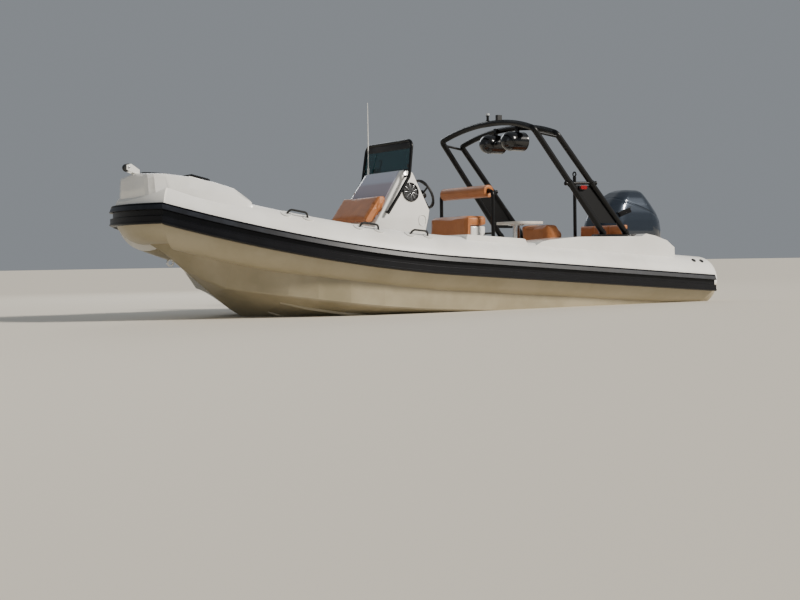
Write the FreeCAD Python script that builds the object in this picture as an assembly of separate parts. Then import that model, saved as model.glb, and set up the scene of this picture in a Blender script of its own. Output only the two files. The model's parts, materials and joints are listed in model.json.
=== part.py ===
import FreeCAD, Part
import os
from math import asin, atan2, cos, degrees, hypot, radians, sin, tan

# Rigid inflatable boat with a centre console, a raked arch and one large outboard engine.
# Millimetres. +X is forward, +Y is port and +Z is up. The origin is on the centreline at the
# waterline, amidships: the boat is drawn as it floats, with its deck level.

V = FreeCAD.Vector

# Inflatable collar
TUBE_R = 285.0
TUBE_IN_Y = 635.0
TUBE_Y = TUBE_IN_Y + TUBE_R
TUBE_STERN_X = -3390.0
TUBE_END_ROUND = 120.0
KNUCKLE_X = 400.0
KNUCKLE_Z = 480.0
TUBE_RISE = radians(3.9)
BOW_BEND_R = 5620.0
BOW_BEND_TILT = radians(26.0)
BOW_BEND_TURN = 31.0
BOW_ARC_BACK = 600.0   # from the mitre's middle back to the centre of the bow's arc
MITRE_TURN = 27.98     # degrees of the long bend, up to the mitre
MITRE_ANGLE = 50.0

# Rubbing strake, as heights above and below its own middle
STRAKE_DROP = 20.0
STRAKE_STERN_X = -3258.0
STRAKE_HALF = 94.0
STRAKE_OUT = 45.0
STRAKE_BAND_OUT = 38.0
STRAKE_SEAT_OUT = 22.0
STRAKE_GROOVE_OUT = 12.0

# Hull
TRANSOM_X = -2720.0
TRANSOM_TOP_Z = 320.0
TRANSOM_THICK = 70.0
WELL_HALF = 430.0
WELL_FRONT_X = -2460.0
WELL_FLOOR_Z = 130.0
OPEN_TOP_Z = 1500.0
KEEL_TRANSOM_Z = -440.0
KEEL_SLOPE = 0.035
FOREFOOT_X = 1150.0
FOREFOOT_R = 2140.0
STEM_ANGLE = radians(40.0)
STEM_BREAK_X = 2950.0
STEM_TOP_SLOPE = 0.62
CHINE_Y = 1000.0
CHINE_Z = 20.0
CHINE_SLOPE = 0.05
CHINE_CURVE = 3.5e-5
CHINE_END_X = 2740.0
CHINE_POWER = 3.5
CHINE_FLAT = 22.0
HULL_NOSE_X = 3160.0
SIDE_OUT = 130.0
RAIL_W = 30.0
RAIL_H = 20.0
RAIL_TIP_H = 2.0
RAIL_SINK = (6.0, 20.0)

# Deck liner
SOLE_Z = 120.0
SOLE_T = 30.0
LINER_HALF = 605.0
COCKPIT_HALF = 575.0
COCKPIT_AFT_X = -2400.0
COCKPIT_FORE_X = 1300.0
FORE_WELL_X = 2250.0
FORE_WELL_HALF = 240.0
FORE_WELL_AFT_HALF = 425.0
FORE_SOLE_Z = 400.0
LINER_FORE_X = 2400.0
LINER_FORE_HALF = 275.0
LINER_WAIST_HALF = 520.0
LINER_AFT_X = -2560.0

# Gunwale mouldings
COAMING_OUT_Y = 1060.0
COAMING_IN_Y = COCKPIT_HALF
COAMING_FORE_X = 220.0
COAMING_AFT_X = -2785.0
COAMING_ROUND = 26.0
COAMING_RIM_Z = 600.0
COAMING_TOP = (  # x, and height above the top of the tube at its knuckle
    (190.0, 5.0), (-520.0, -37.0), (-560.0, -44.0), (-600.0, -115.0), (-690.0, -115.0), (-790.0, -70.0),
    (-900.0, -50.0), (-1310.0, -20.0), (-2250.0, -15.0), (-2320.0, 13.0), (-2460.0, -8.0), (-2650.0, -62.0),
    (-2770.0, -141.0))

# Bow moulding with its locker
NOSE_LID_X = (2530.0, 2780.0)
NOSE_LID_HALF = 190.0
NOSE_LID_T = 26.0
NOSE_LID_RAISE = 8.0

# Console, seats and table
CONSOLE_HALF = 400.0
CONSOLE_SEAT_Z = 560.0
PANEL_T = 8.0
SCREEN_X = 420.0
SCREEN_BASE_Z = 1440.0
SCREEN_TOP_Z = 1755.0
SCREEN_BAR_R = 17.0
GLASS_T = 6.0
WHEEL_R = 157.0
WHEEL_CENTRE = V(40.0, 100.0, 1225.0)
WHEEL_RAKE = radians(26.0)
WHEEL_RIM_R = 14.0
SEAT_HALF = 350.0
SEAT_X = (-630.0, -365.0)
SEAT_TOP_Z = 990.0
CUSHION_T = 110.0
SADDLE_Z = 752.0
SADDLE_T = 58.0
BOLSTER_R = 75.0
BOLSTER_HALF = 405.0
BOLSTER_AT = V(-610.0, 0.0, 1255.0)
BACK_FRAME_R = 20.0
BACK_FRAME_Y = 462.0
TABLE_X = (-1590.0, -1180.0)
TABLE_HALF = 210.0
TABLE_TOP_Z = 942.0
TABLE_T = 30.0
TABLE_CORNER = 70.0
PEDESTAL_R = 42.0
PEDESTAL_X = -1333.0
PEDESTAL_FOOT = (130.0, 14.0)
PEDESTAL_HEAD = (90.0, 12.0)
LOUNGE_SEAT_Z = 620.0
LOUNGE_PAD_T = 120.0
RISER_Z = 715.0
LOUNGE_FORE_X = -1300.0
BENCH_IN_Y = 210.0
END_REST_IN_Y = 100.0
AFT_SEAT_END_Y = -250.0
RISER_X = (-2353.0, -2200.0)
AFT_SEAT_FORE_X = -1830.0
AFT_BACK_X = (-2328.0, -2262.0)
AFT_BACK_RAKE = 8.0
AFT_BACK_Y = (30.0, 780.0)
AFT_BACK_TOP_Z = 905.0
END_REST_TOP_Z = 898.0
END_REST_T = 240.0
END_REST_BEVEL = (90.0, 100.0)

# Arch
ARCH_R = 32.0
ARCH_FOOT_Y = 880.0
ARCH_FOOT_Z = KNUCKLE_Z + TUBE_R + 10.0
ARCH_CROWN_Y = 400.0
ARCH_BEND = 52.0
ARCH_CROWN_BEND = 2250.0
HOOPS = {  # name: foot x, corner x, corner y, corner z, crown x, crown z
    "arch_forward_hoop": (-1848.0, -900.0, 815.0, 1905.0, -945.0, 2030.0),
    "arch_aft_hoop": (-2200.0, -1205.0, 835.0, 1863.0, -1250.0, 1990.0),
}
ARCH_PLATE_T = 8.0
SPEAKER_R = 105.0
SPEAKER_LENGTH = 250.0
SPEAKER_Y = 190.0
SPEAKER_AT = V(-1160.0, 0.0, 1830.0)

# Tow pole
POLE_X = -2235.0
POLE_R = 20.0
POLE_TOP_Z = 1478.0
POLE_EYE_R = 19.0
POLE_EYE_BAR = 14.0

# Engine
TILT_AT = V(-2735.0, 0.0, 470.0)
STEER_X = -2900.0
PROP_AT = V(STEER_X - 320.0, 0.0, -613.0)
PROP_R = 188.0
PLATE_Z = -405.0
PLATE_T = 12.0
COWL_FLOOR_Z = 600.0
COWL_NOSE_SHARE = 0.62
COWL_TAIL_SHARE = 0.66

# Clearances
RUN = 1.0          # between a moving piece and its seat
PIN_RUN = 0.3      # round a pin or a shaft
SIDES = (("port", 1), ("starboard", -1))

os.makedirs("parts", exist_ok=True)
NODES = []


def node(name, shape):
    """Keep one piece, as it lies in the boat."""
    shape.exportStep("parts/" + name + ".step")
    NODES.append((name, shape))
    return shape


def box(x, y, z):
    """A block between pairs of x, y and z."""
    return Part.makeBox(abs(x[1] - x[0]), abs(y[1] - y[0]), abs(z[1] - z[0]), V(min(x), min(y), min(z)))


def rod(start, end, radius):
    """A round bar from start to end."""
    return Part.makeCylinder(radius, (end - start).Length, start, end - start)


def join(pieces):
    """One shape from pieces that touch."""
    pieces = list(pieces)
    whole = pieces[0].multiFuse(pieces[1:]) if len(pieces) > 1 else pieces[0]
    return whole.removeSplitter()


def apart(pieces):
    """One node of solids that don't touch."""
    return Part.makeCompound(list(pieces))


def mirrored(shape):
    """The same piece on the other side of the centreline."""
    return shape.mirror(V(0, 0, 0), V(0, 1, 0))


def on_side(shape, side):
    """A port piece, or its starboard twin when side is -1."""
    return shape if side > 0 else mirrored(shape)


def outline(points):
    """A closed wire through points."""
    return Part.makePolygon(list(points) + [points[0]])


def rounded(points, radii):
    """A closed wire through corners, each rounded by its own radius."""
    count = len(points)
    pieces = []
    ends = []
    for index, corner in enumerate(points):
        radius = radii[index] if isinstance(radii, (list, tuple)) else radii
        into = (corner - points[index - 1]).normalize()
        out = (points[(index + 1) % count] - corner).normalize()
        turn = into.getAngle(out)
        setback = radius * tan(turn / 2)
        first, last = corner - into * setback, corner + out * setback
        bisector = (out - into).normalize()
        middle = corner + bisector * (radius / cos(turn / 2) - radius)
        ends.append((first, last))
        pieces.append(Part.Arc(first, middle, last).toShape())
    edges = []
    for index in range(count):
        edges.append(pieces[index])
        edges.append(Part.makeLine(ends[index][1], ends[(index + 1) % count][0]))
    return Part.Wire(edges)


def rounded_slab(x, y, z, corner, edge=0.0):
    """A block with its upright corners rounded, and its upper rim too when edge is given."""
    block = box(x, y, z)
    block = block.makeFillet(corner, [e for e in block.Edges if abs(e.tangentAt(e.FirstParameter).z) > 0.99])
    if edge:
        top = max(z)
        block = block.makeFillet(edge, [e for e in block.Edges if abs(e.BoundBox.ZMin - top) < 0.01])
    return block


def profile_xz(points, y0, y1):
    """A side outline of x and z pairs, drawn from y0 to y1."""
    face = Part.Face(outline([V(x, y0, z) for x, z in points]))
    return face.extrude(V(0, y1 - y0, 0))


def plan(points, z0, z1):
    """A plan outline of x and y pairs, drawn from z0 to z1."""
    face = Part.Face(outline([V(x, y, z0) for x, y in points]))
    return face.extrude(V(0, 0, z1 - z0))


def both(points):
    """A half outline from bow to stern, closed by its mirror."""
    return list(points) + [(x, -y) for x, y in reversed(points)]


def bent_bar(points, bends, radius):
    """A round bar along straight runs, joined by arcs of one radius or of a radius for each corner."""
    pieces = []
    start = points[0]
    for index, (before, corner, after) in enumerate(zip(points, points[1:], points[2:])):
        bend = bends[index] if isinstance(bends, (list, tuple)) else bends
        into = (corner - before).normalize()
        out = (after - corner).normalize()
        turn = into.getAngle(out)
        setback = bend * tan(turn / 2)
        arc_start = corner - into * setback
        axis = into.cross(out).normalize()
        centre = arc_start + axis.cross(into) * bend
        if (arc_start - start).Length > 1:
            pieces.append(rod(start, arc_start, radius))
        disc = Part.Face(Part.Wire(Part.makeCircle(radius, arc_start, into)))
        pieces.append(disc.revolve(centre, axis, degrees(turn)))
        start = corner + out * setback
    pieces.append(rod(start, points[-1], radius))
    return join(pieces)


# Collar geometry: a straight run, one long bend inwards and upwards, and a blunt bow
ALONG = V(cos(TUBE_RISE), 0, sin(TUBE_RISE))
UPRIGHT = V(-sin(TUBE_RISE), 0, cos(TUBE_RISE))
INTO_BEND = V(0, -cos(BOW_BEND_TILT), 0) + UPRIGHT * sin(BOW_BEND_TILT)
KNUCKLE = V(KNUCKLE_X, TUBE_Y, KNUCKLE_Z)
BEND_CENTRE = KNUCKLE + INTO_BEND * BOW_BEND_R
BEND_AXIS = ALONG.cross(INTO_BEND)
STRAKE_REACH = TUBE_R + STRAKE_BAND_OUT


def bend_point(turn, out=0.0):
    """A point of the port bend, at a turn past the knuckle and a reach outwards of the tube's middle."""
    arm = KNUCKLE + V(0, out, 0) - BEND_CENTRE
    return BEND_CENTRE + FreeCAD.Rotation(BEND_AXIS, turn).multVec(arm)


MITRE_AT = bend_point(MITRE_TURN)
MITRE_NORMAL = V(sin(radians(MITRE_ANGLE)), -cos(radians(MITRE_ANGLE)), 0)


def mitre_meeting():
    """Where the outside of the port strake meets the mitre."""
    turn = MITRE_TURN
    for _ in range(12):
        ahead = (bend_point(turn, STRAKE_REACH) - MITRE_AT).dot(MITRE_NORMAL)
        turn -= degrees(ahead / BOW_BEND_R)
    return bend_point(turn, STRAKE_REACH)


BOW_MEETING = mitre_meeting()
BOW_ARC_CENTRE_X = MITRE_AT.x - BOW_ARC_BACK
BOW_ARC_R = hypot(BOW_MEETING.x - BOW_ARC_CENTRE_X, BOW_MEETING.y) - STRAKE_REACH
BOW_TUBE_Z = BOW_MEETING.z
STERN = KNUCKLE + ALONG * ((TUBE_STERN_X - KNUCKLE_X) / ALONG.x)


def tube_at(x):
    """Centre of the port tube at a given x."""
    if x <= KNUCKLE_X:
        return STERN + ALONG * ((x - TUBE_STERN_X) / ALONG.x)
    turn = asin(min((x - KNUCKLE_X) / BOW_BEND_R / ALONG.x, 0.52))
    return KNUCKLE + (ALONG * sin(turn) + INTO_BEND * (1 - cos(turn))) * BOW_BEND_R


def run_collar(points, end_round=0.0):
    """A section, as outward and upward pairs from the tube's centre, along the port collar."""
    def at(centre):
        if points is None:
            return Part.Face(Part.Wire(Part.makeCircle(TUBE_R, centre, ALONG)))
        return Part.Face(outline([centre + V(0, out, 0) + UPRIGHT * up for out, up in points]))
    straight = at(STERN).extrude(KNUCKLE - STERN)
    if end_round:
        rim = [e for e in straight.Edges if e.CenterOfMass.distanceToPoint(STERN) < 1 and e.Length > TUBE_R]
        straight = straight.makeFillet(end_round, rim)
    bend = at(KNUCKLE).revolve(BEND_CENTRE, BEND_AXIS, BOW_BEND_TURN)
    return join([straight, bend])


def run_bow(points):
    """The same section round the bow, between the mitres."""
    centre = V(BOW_ARC_CENTRE_X, 0, BOW_TUBE_Z)
    start = centre + V(BOW_ARC_R, 0, 0)
    if points is None:
        face = Part.Face(Part.Wire(Part.makeCircle(TUBE_R, start, V(0, 1, 0))))
    else:
        face = Part.Face(outline([start + V(out, 0, up) for out, up in points]))
    half_turn = 45.0
    face.rotate(centre, V(0, 0, 1), -half_turn)
    return face.revolve(centre, V(0, 0, 1), 2 * half_turn)


def mitre_block(side):
    """All that lies ahead of the mitre between one side tube and the bow tube."""
    reach = 3000.0
    block = box((-reach, reach), (-reach, 0), (-reach, reach))
    block.rotate(V(0, 0, 0), V(0, 0, 1), MITRE_ANGLE)
    block.translate(V(MITRE_AT.x, MITRE_AT.y, 0))
    return on_side(block, side)


AHEAD = mitre_block(1)
AHEAD_BOTH = AHEAD.common(mitre_block(-1))


def side_run(points, end_round=0.0):
    """A side section that stops at the mitre."""
    return run_collar(points, end_round).cut(AHEAD)


def bow_run(points):
    """A bow section that stops at both mitres."""
    return run_bow(points).common(AHEAD_BOTH)


def strake_section(z_pairs):
    """Heights and reaches of one strip of the strake, from its low edge to its high edge."""
    inner = TUBE_R - 30.0
    points = [(inner, z_pairs[0][0] - STRAKE_DROP)]
    points += [(TUBE_R + out, z - STRAKE_DROP) for z, out in z_pairs]
    points += [(inner, z_pairs[-1][0] - STRAKE_DROP)]
    return points


STRAKE_LIP = STRAKE_HALF - 8.0
STRAKE_GROOVE_Z = (-18.0, 30.0)
STRAKE_SEAT_Z = (38.0, 82.0)
STRAKE_BODY = strake_section([
    (-STRAKE_HALF, STRAKE_BAND_OUT - 6), (-STRAKE_LIP, STRAKE_OUT), (-STRAKE_LIP + 12, STRAKE_OUT),
    (-STRAKE_LIP + 16, STRAKE_BAND_OUT), (STRAKE_GROOVE_Z[0] - 6, STRAKE_BAND_OUT),
    (STRAKE_GROOVE_Z[0], STRAKE_GROOVE_OUT), (STRAKE_GROOVE_Z[1], STRAKE_GROOVE_OUT),
    (STRAKE_GROOVE_Z[1] + 4, STRAKE_OUT), (STRAKE_SEAT_Z[0], STRAKE_OUT), (STRAKE_SEAT_Z[0], STRAKE_SEAT_OUT),
    (STRAKE_SEAT_Z[1], STRAKE_SEAT_OUT), (STRAKE_LIP, STRAKE_SEAT_OUT + 6), (STRAKE_HALF, STRAKE_SEAT_OUT)])
STRAKE_INLAY = [(TUBE_R + out, z - STRAKE_DROP) for z, out in (
    (STRAKE_SEAT_Z[0], STRAKE_SEAT_OUT), (STRAKE_SEAT_Z[0], STRAKE_OUT - 1), (STRAKE_SEAT_Z[1] - 4, 28.0),
    (STRAKE_SEAT_Z[1], STRAKE_SEAT_OUT))]


BOW_LEDGE = [(3420.0, 1072.0), (3220.0, 1158.0), (2960.0, 1284.0), (2960.0, 1500.0), (3600.0, 1500.0),
             (3600.0, 1072.0)]


def make_collar():
    """Three air chambers and the rubber strake round them."""
    reach = 2000.0
    past_end = box((TUBE_STERN_X - reach, STRAKE_STERN_X), (-reach, reach), (-reach, reach))
    tube = side_run(None, TUBE_END_ROUND)
    bow = bow_run(None)
    strake = side_run(STRAKE_BODY).cut(tube).cut(past_end)
    bow_strake = bow_run(STRAKE_BODY).cut(bow)
    inlay = side_run(STRAKE_INLAY).cut(past_end)
    ledge = profile_xz(BOW_LEDGE, -reach, reach)
    tube, bow = tube.cut(ledge), bow.cut(ledge)
    for name, side in SIDES:
        node("tube_" + name, on_side(tube, side))
    node("tube_bow", bow)
    node("strake", apart([strake, mirrored(strake), bow_strake]))
    whole_inlay = join([inlay, bow_run(STRAKE_INLAY), mirrored(inlay)])
    node("strake_inlay", whole_inlay)
    return (tube, mirrored(tube), bow), (strake, mirrored(strake), bow_strake, whole_inlay)


def keel_z(x):
    """Height of the keel and stem line."""
    start = KEEL_TRANSOM_Z + KEEL_SLOPE * (min(x, FOREFOOT_X) - TRANSOM_X)
    if x <= FOREFOOT_X:
        return start
    low = atan2(KEEL_SLOPE, 1)
    arc_end = FOREFOOT_X + FOREFOOT_R * (sin(STEM_ANGLE) - sin(low))
    at = min(x, arc_end)
    turn = asin((at - FOREFOOT_X) / FOREFOOT_R + sin(low))
    height = start + FOREFOOT_R * (cos(low) - cos(turn))
    if x > arc_end:
        height += tan(STEM_ANGLE) * (min(x, STEM_BREAK_X) - arc_end)
    if x > STEM_BREAK_X:
        height += STEM_TOP_SLOPE * (x - STEM_BREAK_X)
    return height


def chine_at(x):
    """Half breadth and height of the chine, which dies out on the stem."""
    ahead = max(x - KNUCKLE_X, 0)
    share = min(ahead / (CHINE_END_X - KNUCKLE_X), 0.99)
    half = CHINE_Y * (1 - share ** CHINE_POWER)
    height = CHINE_Z + CHINE_SLOPE * (x - KNUCKLE_X) + CHINE_CURVE * ahead ** 2
    return half, max(height, keel_z(x) + 12.0)


def hull_section(x):
    """Closed outline across the hull, up to the middle of the tubes."""
    half, chine = chine_at(x)
    middle = tube_at(x)
    side = middle.y + SIDE_OUT
    knuckle = (half + CHINE_FLAT, chine + CHINE_FLAT * 0.6)
    points = [(0.0, keel_z(x)), (half, chine), knuckle, (side, middle.z)]
    starboard = [(-y, z) for y, z in reversed(points[1:])]
    return outline([V(x, y, z) for y, z in points + starboard])


HULL_STATIONS = (TRANSOM_X, -1400.0, 0.0, 700.0, 1150.0, 1500.0, 1800.0,
                 2050.0, 2300.0, 2500.0, 2650.0, 2760.0, 2950.0, HULL_NOSE_X)


def make_hull(tubes):
    """Deep vee hull that carries the tubes, its flanks beside the cockpit, and the moulded liner."""
    body = Part.makeLoft([hull_section(x) for x in HULL_STATIONS], True, True)
    step_x = COCKPIT_FORE_X + SOLE_T
    roof = BOW_TUBE_Z + TUBE_R
    liner_plan = both([(LINER_FORE_X, LINER_FORE_HALF), (step_x, LINER_WAIST_HALF), (KNUCKLE_X, LINER_HALF),
                       (LINER_AFT_X, LINER_HALF)])
    liner_block = plan(liner_plan, SOLE_Z - SOLE_T, roof)
    fore_floor = box((step_x, LINER_FORE_X + 10), (-CHINE_Y, CHINE_Y), (0, FORE_SOLE_Z - SOLE_T))
    liner_block = liner_block.cut(fore_floor)
    well = box((TRANSOM_X - 10, WELL_FRONT_X), (-WELL_HALF, WELL_HALF), (WELL_FLOOR_Z, 600))
    sill = box((TRANSOM_X - 10, TRANSOM_X + TRANSOM_THICK), (-WELL_HALF, WELL_HALF), (0, TRANSOM_TOP_Z))
    well = well.cut(sill)
    liner = body.common(liner_block)
    wall = LINER_HALF - COCKPIT_HALF
    cockpit = plan(both([(COCKPIT_FORE_X, LINER_WAIST_HALF - wall), (KNUCKLE_X, COCKPIT_HALF),
                         (COCKPIT_AFT_X, COCKPIT_HALF)]), SOLE_Z, OPEN_TOP_Z)
    fore = both([(FORE_WELL_X, FORE_WELL_HALF), (COCKPIT_FORE_X, FORE_WELL_AFT_HALF)])
    fore = plan(fore, FORE_SOLE_Z, OPEN_TOP_Z)
    liner = liner.cut(cockpit).cut(fore).cut(well)
    shell = body.cut(liner_block).cut(well)
    above_sole = box((TRANSOM_X - 10, step_x), (-2 * CHINE_Y, 2 * CHINE_Y), (SOLE_Z - SOLE_T, roof))
    stern_corner = box((TRANSOM_X - 10, LINER_AFT_X), (-WELL_HALF, WELL_HALF), (SOLE_Z - SOLE_T, roof))
    above_sole = above_sole.cut(stern_corner)
    bottom = shell.cut(above_sole)
    for tube in tubes:
        bottom = bottom.cut(tube)
    port_side = box((TRANSOM_X - 10, step_x), (0, 2 * CHINE_Y), (SOLE_Z - SOLE_T, roof))
    flank = shell.common(above_sole.common(port_side)).cut(tubes[0])
    flank = max(flank.Solids, key=lambda solid: solid.Volume)
    rails = []
    for share, fore_x in ((0.42, 2200.0), (0.76, 2100.0)):
        rails += spray_rail(share, fore_x)
    node("hull", join([bottom] + rails))
    node("hull_flanks", apart([flank, mirrored(flank)]))
    node("deck_liner", liner)
    return body, liner


def spray_rail(share, fore_x):
    """A pair of thin wedge rails on the bottom, at a share of the way from keel to chine."""
    def corner(x):
        half, chine = chine_at(x)
        low = keel_z(x)
        return V(x, half * share, low + (chine - low) * share)
    stations = [x for x in HULL_STATIONS if x < fore_x]
    sections = []
    for x in stations:
        at = corner(x)
        deep = RAIL_TIP_H if x == stations[-1] else RAIL_H
        corners = ((-RAIL_W, RAIL_SINK[0]), (RAIL_W, -deep / 2), (RAIL_W, RAIL_SINK[1]))
        sections.append(outline([at + V(0, y, z) for y, z in corners]))
    rail = Part.makeLoft(sections, True, True)
    return [rail, mirrored(rail)]


def make_coamings(tubes, body):
    """White mouldings that cap the tubes beside the cockpit, with the quarter humps."""
    def deck_z(x):
        return tube_at(x).z
    datum = KNUCKLE_Z + TUBE_R
    top = [(COAMING_FORE_X, deck_z(COAMING_FORE_X) + TUBE_R * 0.7)]
    top += [(x, datum + rise) for x, rise in COAMING_TOP]
    base = [(COAMING_AFT_X, deck_z(COAMING_AFT_X)), (COAMING_FORE_X, deck_z(COAMING_FORE_X))]
    block = profile_xz(top + base, COAMING_IN_Y, COAMING_OUT_Y).cut(tubes[0]).cut(body)
    largest = max(block.Solids, key=lambda solid: solid.Volume)
    at_rim = [e for e in largest.Edges if abs(e.BoundBox.YMax - COAMING_IN_Y) < 0.01]
    inner_rim = [e for e in at_rim if e.BoundBox.ZMin > COAMING_RIM_Z and e.Length > COAMING_ROUND / 2]
    largest = largest.makeFillet(COAMING_ROUND, inner_rim)
    node("coamings", apart([largest, mirrored(largest)]))
    return largest


def nose_section(x, skirt, swage, shoulder, crown_z):
    """Half breadths and heights across the bow moulding, with soft shoulders."""
    points = [skirt, swage, shoulder, (0.0, crown_z)]
    points += [(-half, z) for half, z in reversed(points[:-1])]
    radii = [20.0, 60.0, NOSE_SHOULDER_R, 600.0, NOSE_SHOULDER_R, 60.0, 20.0]
    return rounded([V(x, half, z) for half, z in points], radii)


NOSE_SHOULDER_R = 45.0
NOSE = (  # x, then half breadth and height of the skirt, the swage and the shoulder, then the crown's height
    (3262.0, (295.0, 1090.0), (285.0, 1190.0), (272.0, 1318.0), 1342.0),
    (3248.0, (365.0, 1060.0), (345.0, 1190.0), (325.0, 1332.0), 1360.0),
    (3205.0, (430.0, 1045.0), (395.0, 1192.0), (368.0, 1336.0), 1366.0),
    (3110.0, (520.0, 1030.0), (455.0, 1200.0), (410.0, 1335.0), 1368.0),
    (2920.0, (625.0, 985.0), (545.0, 1195.0), (470.0, 1310.0), 1352.0),
    (2700.0, (715.0, 935.0), (630.0, 1170.0), (540.0, 1262.0), 1318.0),
    (2520.0, (770.0, 890.0), (680.0, 1130.0), (590.0, 1205.0), 1272.0),
    (2410.0, (795.0, 860.0), (720.0, 1075.0), (620.0, 1120.0), 1195.0),
)


def nose_top(x):
    """Height of the crown of the bow moulding."""
    for fore, aft in zip(NOSE, NOSE[1:]):
        if x >= aft[0]:
            return aft[4] + (fore[4] - aft[4]) * (x - aft[0]) / (fore[0] - aft[0])
    return NOSE[-1][4]


def make_bow(tubes, strakes, liner, body):
    """Bow moulding, locker lid, roller and towing eye."""
    nose = Part.makeLoft([nose_section(*row) for row in NOSE], True, True)
    for piece in tubes + strakes:
        nose = nose.cut(piece)
    nose = nose.cut(liner).cut(body)
    pitch = (nose_top(NOSE_LID_X[1]) - nose_top(NOSE_LID_X[0])) / (NOSE_LID_X[1] - NOSE_LID_X[0])
    seat_z = nose_top(NOSE_LID_X[0]) - NOSE_LID_T + NOSE_LID_RAISE
    depth = 260.0

    def panel(x, half, low, high):
        base = [(x[0], seat_z + low), (x[1], seat_z + low + pitch * (x[1] - x[0]))]
        top = [(x[1], seat_z + high + pitch * (x[1] - x[0])), (x[0], seat_z + high)]
        return profile_xz(base + top, -half, half)
    seat = panel((NOSE_LID_X[0] - RUN, NOSE_LID_X[1] + RUN), NOSE_LID_HALF + RUN, -RUN, 90.0)
    locker_x = (NOSE_LID_X[0] + 25, NOSE_LID_X[1] - 25)
    locker = panel(locker_x, NOSE_LID_HALF - 25, -depth, 10.0)
    nose = nose.cut(seat).cut(locker)
    nose = max(nose.Solids, key=lambda solid: solid.Volume)
    node("bow_nose", nose)
    lid = panel(NOSE_LID_X, NOSE_LID_HALF, 0.0, NOSE_LID_T)
    node("bow_locker_lid", lid)
    hinge = V(NOSE_LID_X[1], 0, seat_z + NOSE_LID_T + pitch * (NOSE_LID_X[1] - NOSE_LID_X[0]))
    make_roller(nose)
    eye_at = V(EYE_STEM_X + 24, 0, keel_z(EYE_STEM_X) - 22)
    node("bow_eye", ring(eye_at, V(0, 1, 0), BOW_EYE_R, EYE_BAR).cut(body))
    return hinge, eye_at


EYE_STEM_X = 2880.0
BOW_EYE_R = 22.0
EYE_BAR = 16.0


def ring(centre, axis, inner_r, bar):
    """A round eye with a straight bore and rounded outer edges."""
    half = axis * (bar / 2)
    disc = rod(centre - half, centre + half, inner_r + bar)
    rims = [e for e in disc.Edges if e.Length > 3 * inner_r and len(e.Vertexes) == 1]
    disc = disc.makeFillet(bar * 0.4, rims)
    return disc.cut(rod(centre - half * 2, centre + half * 2, inner_r))


ROLLER_R = 36.0
ROLLER_AT = V(3306.0, 0.0, 1412.0)
ROLLER_HALF = 34.0
CHEEK_NOSE = ((22.0, -22.0), (22.0, 22.0), (-20.0, 34.0))
BRACKET_X = (ROLLER_AT.x - 102, ROLLER_AT.x - 76)
BRACKET_Z = (ROLLER_AT.z - 62, ROLLER_AT.z - 20)


def make_roller(nose):
    """White anchor roller bracket on the bow, and its black roller."""
    cheeks = []
    for side in (-1, 1):
        y = side * (ROLLER_HALF + 2)
        cheek = [(ROLLER_AT.x + x, ROLLER_AT.z + z) for x, z in CHEEK_NOSE]
        cheek += [(BRACKET_X[0], BRACKET_Z[1]), (BRACKET_X[0], BRACKET_Z[0]), (BRACKET_X[1], BRACKET_Z[0])]
        cheeks.append(profile_xz(cheek, y, y + side * 8))
    base = box(BRACKET_X, (-ROLLER_HALF - 10, ROLLER_HALF + 10), BRACKET_Z)
    pin = rod(ROLLER_AT - V(0, ROLLER_HALF + 12, 0), ROLLER_AT + V(0, ROLLER_HALF + 12, 0), 6)
    node("bow_roller_bracket", join(cheeks + [base, pin]).cut(nose))
    wheel = rod(ROLLER_AT - V(0, ROLLER_HALF, 0), ROLLER_AT + V(0, ROLLER_HALF, 0), ROLLER_R)
    groove = Part.makeTorus(ROLLER_R + 8, 16, ROLLER_AT, V(0, 1, 0))
    bore = rod(ROLLER_AT - V(0, 99, 0), ROLLER_AT + V(0, 99, 0), 6 + PIN_RUN)
    node("bow_roller", wheel.cut(groove).cut(bore))


HANDLE_X = (2025.0, 1330.0, 790.0)
HANDLE_SPAN = 210.0
HANDLE_LEAN = radians(28.0)
HANDLE_PAD_R = 52.0
HANDLE_STRAP_R = 10.0
HANDLE_RISE = 52.0
VALVE_X = (-3045.0, -3175.0)


def make_handles(tube):
    """Webbing grab handles on moulded patches along the top of each tube."""
    patches, straps = [], []
    for x in HANDLE_X:
        middle = tube_at(x)
        ahead = (tube_at(x + 50) - tube_at(x - 50)).normalize()
        out = V(0, sin(HANDLE_LEAN), cos(HANDLE_LEAN))
        out = (out - ahead * out.dot(ahead)).normalize()
        crown = middle + out * TUBE_R
        ends = [crown + ahead * (HANDLE_SPAN / 2 * s) for s in (-1, 1)]
        pads = [Part.makeCylinder(HANDLE_PAD_R, 40, end - out * 34, out).cut(tube) for end in ends]
        strap = bent_bar([ends[0] - out * 8, ends[0] + out * HANDLE_RISE + ahead * 26,
                          ends[1] + out * HANDLE_RISE - ahead * 26, ends[1] - out * 8], 34, HANDLE_STRAP_R)
        for pad in pads:
            strap = strap.cut(pad)
        strap = max(strap.cut(tube).Solids, key=lambda solid: solid.Volume)
        for side in (1, -1):
            patches += [on_side(pad, side) for pad in pads]
            straps.append(on_side(strap, side))
    node("handle_patches", apart(patches))
    node("handle_straps", apart(straps))


def make_valves(tube):
    """Round air valves near the stern of each tube."""
    valves = []
    for side in (1, -1):
        for x in VALVE_X:
            middle = tube_at(x)
            out = V(0, sin(radians(38)), cos(radians(38)))
            valve = Part.makeCylinder(26, 24, middle + out * (TUBE_R - 16), out).cut(tube)
            valves.append(on_side(valve, side))
    node("tube_valves", apart(valves))


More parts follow.
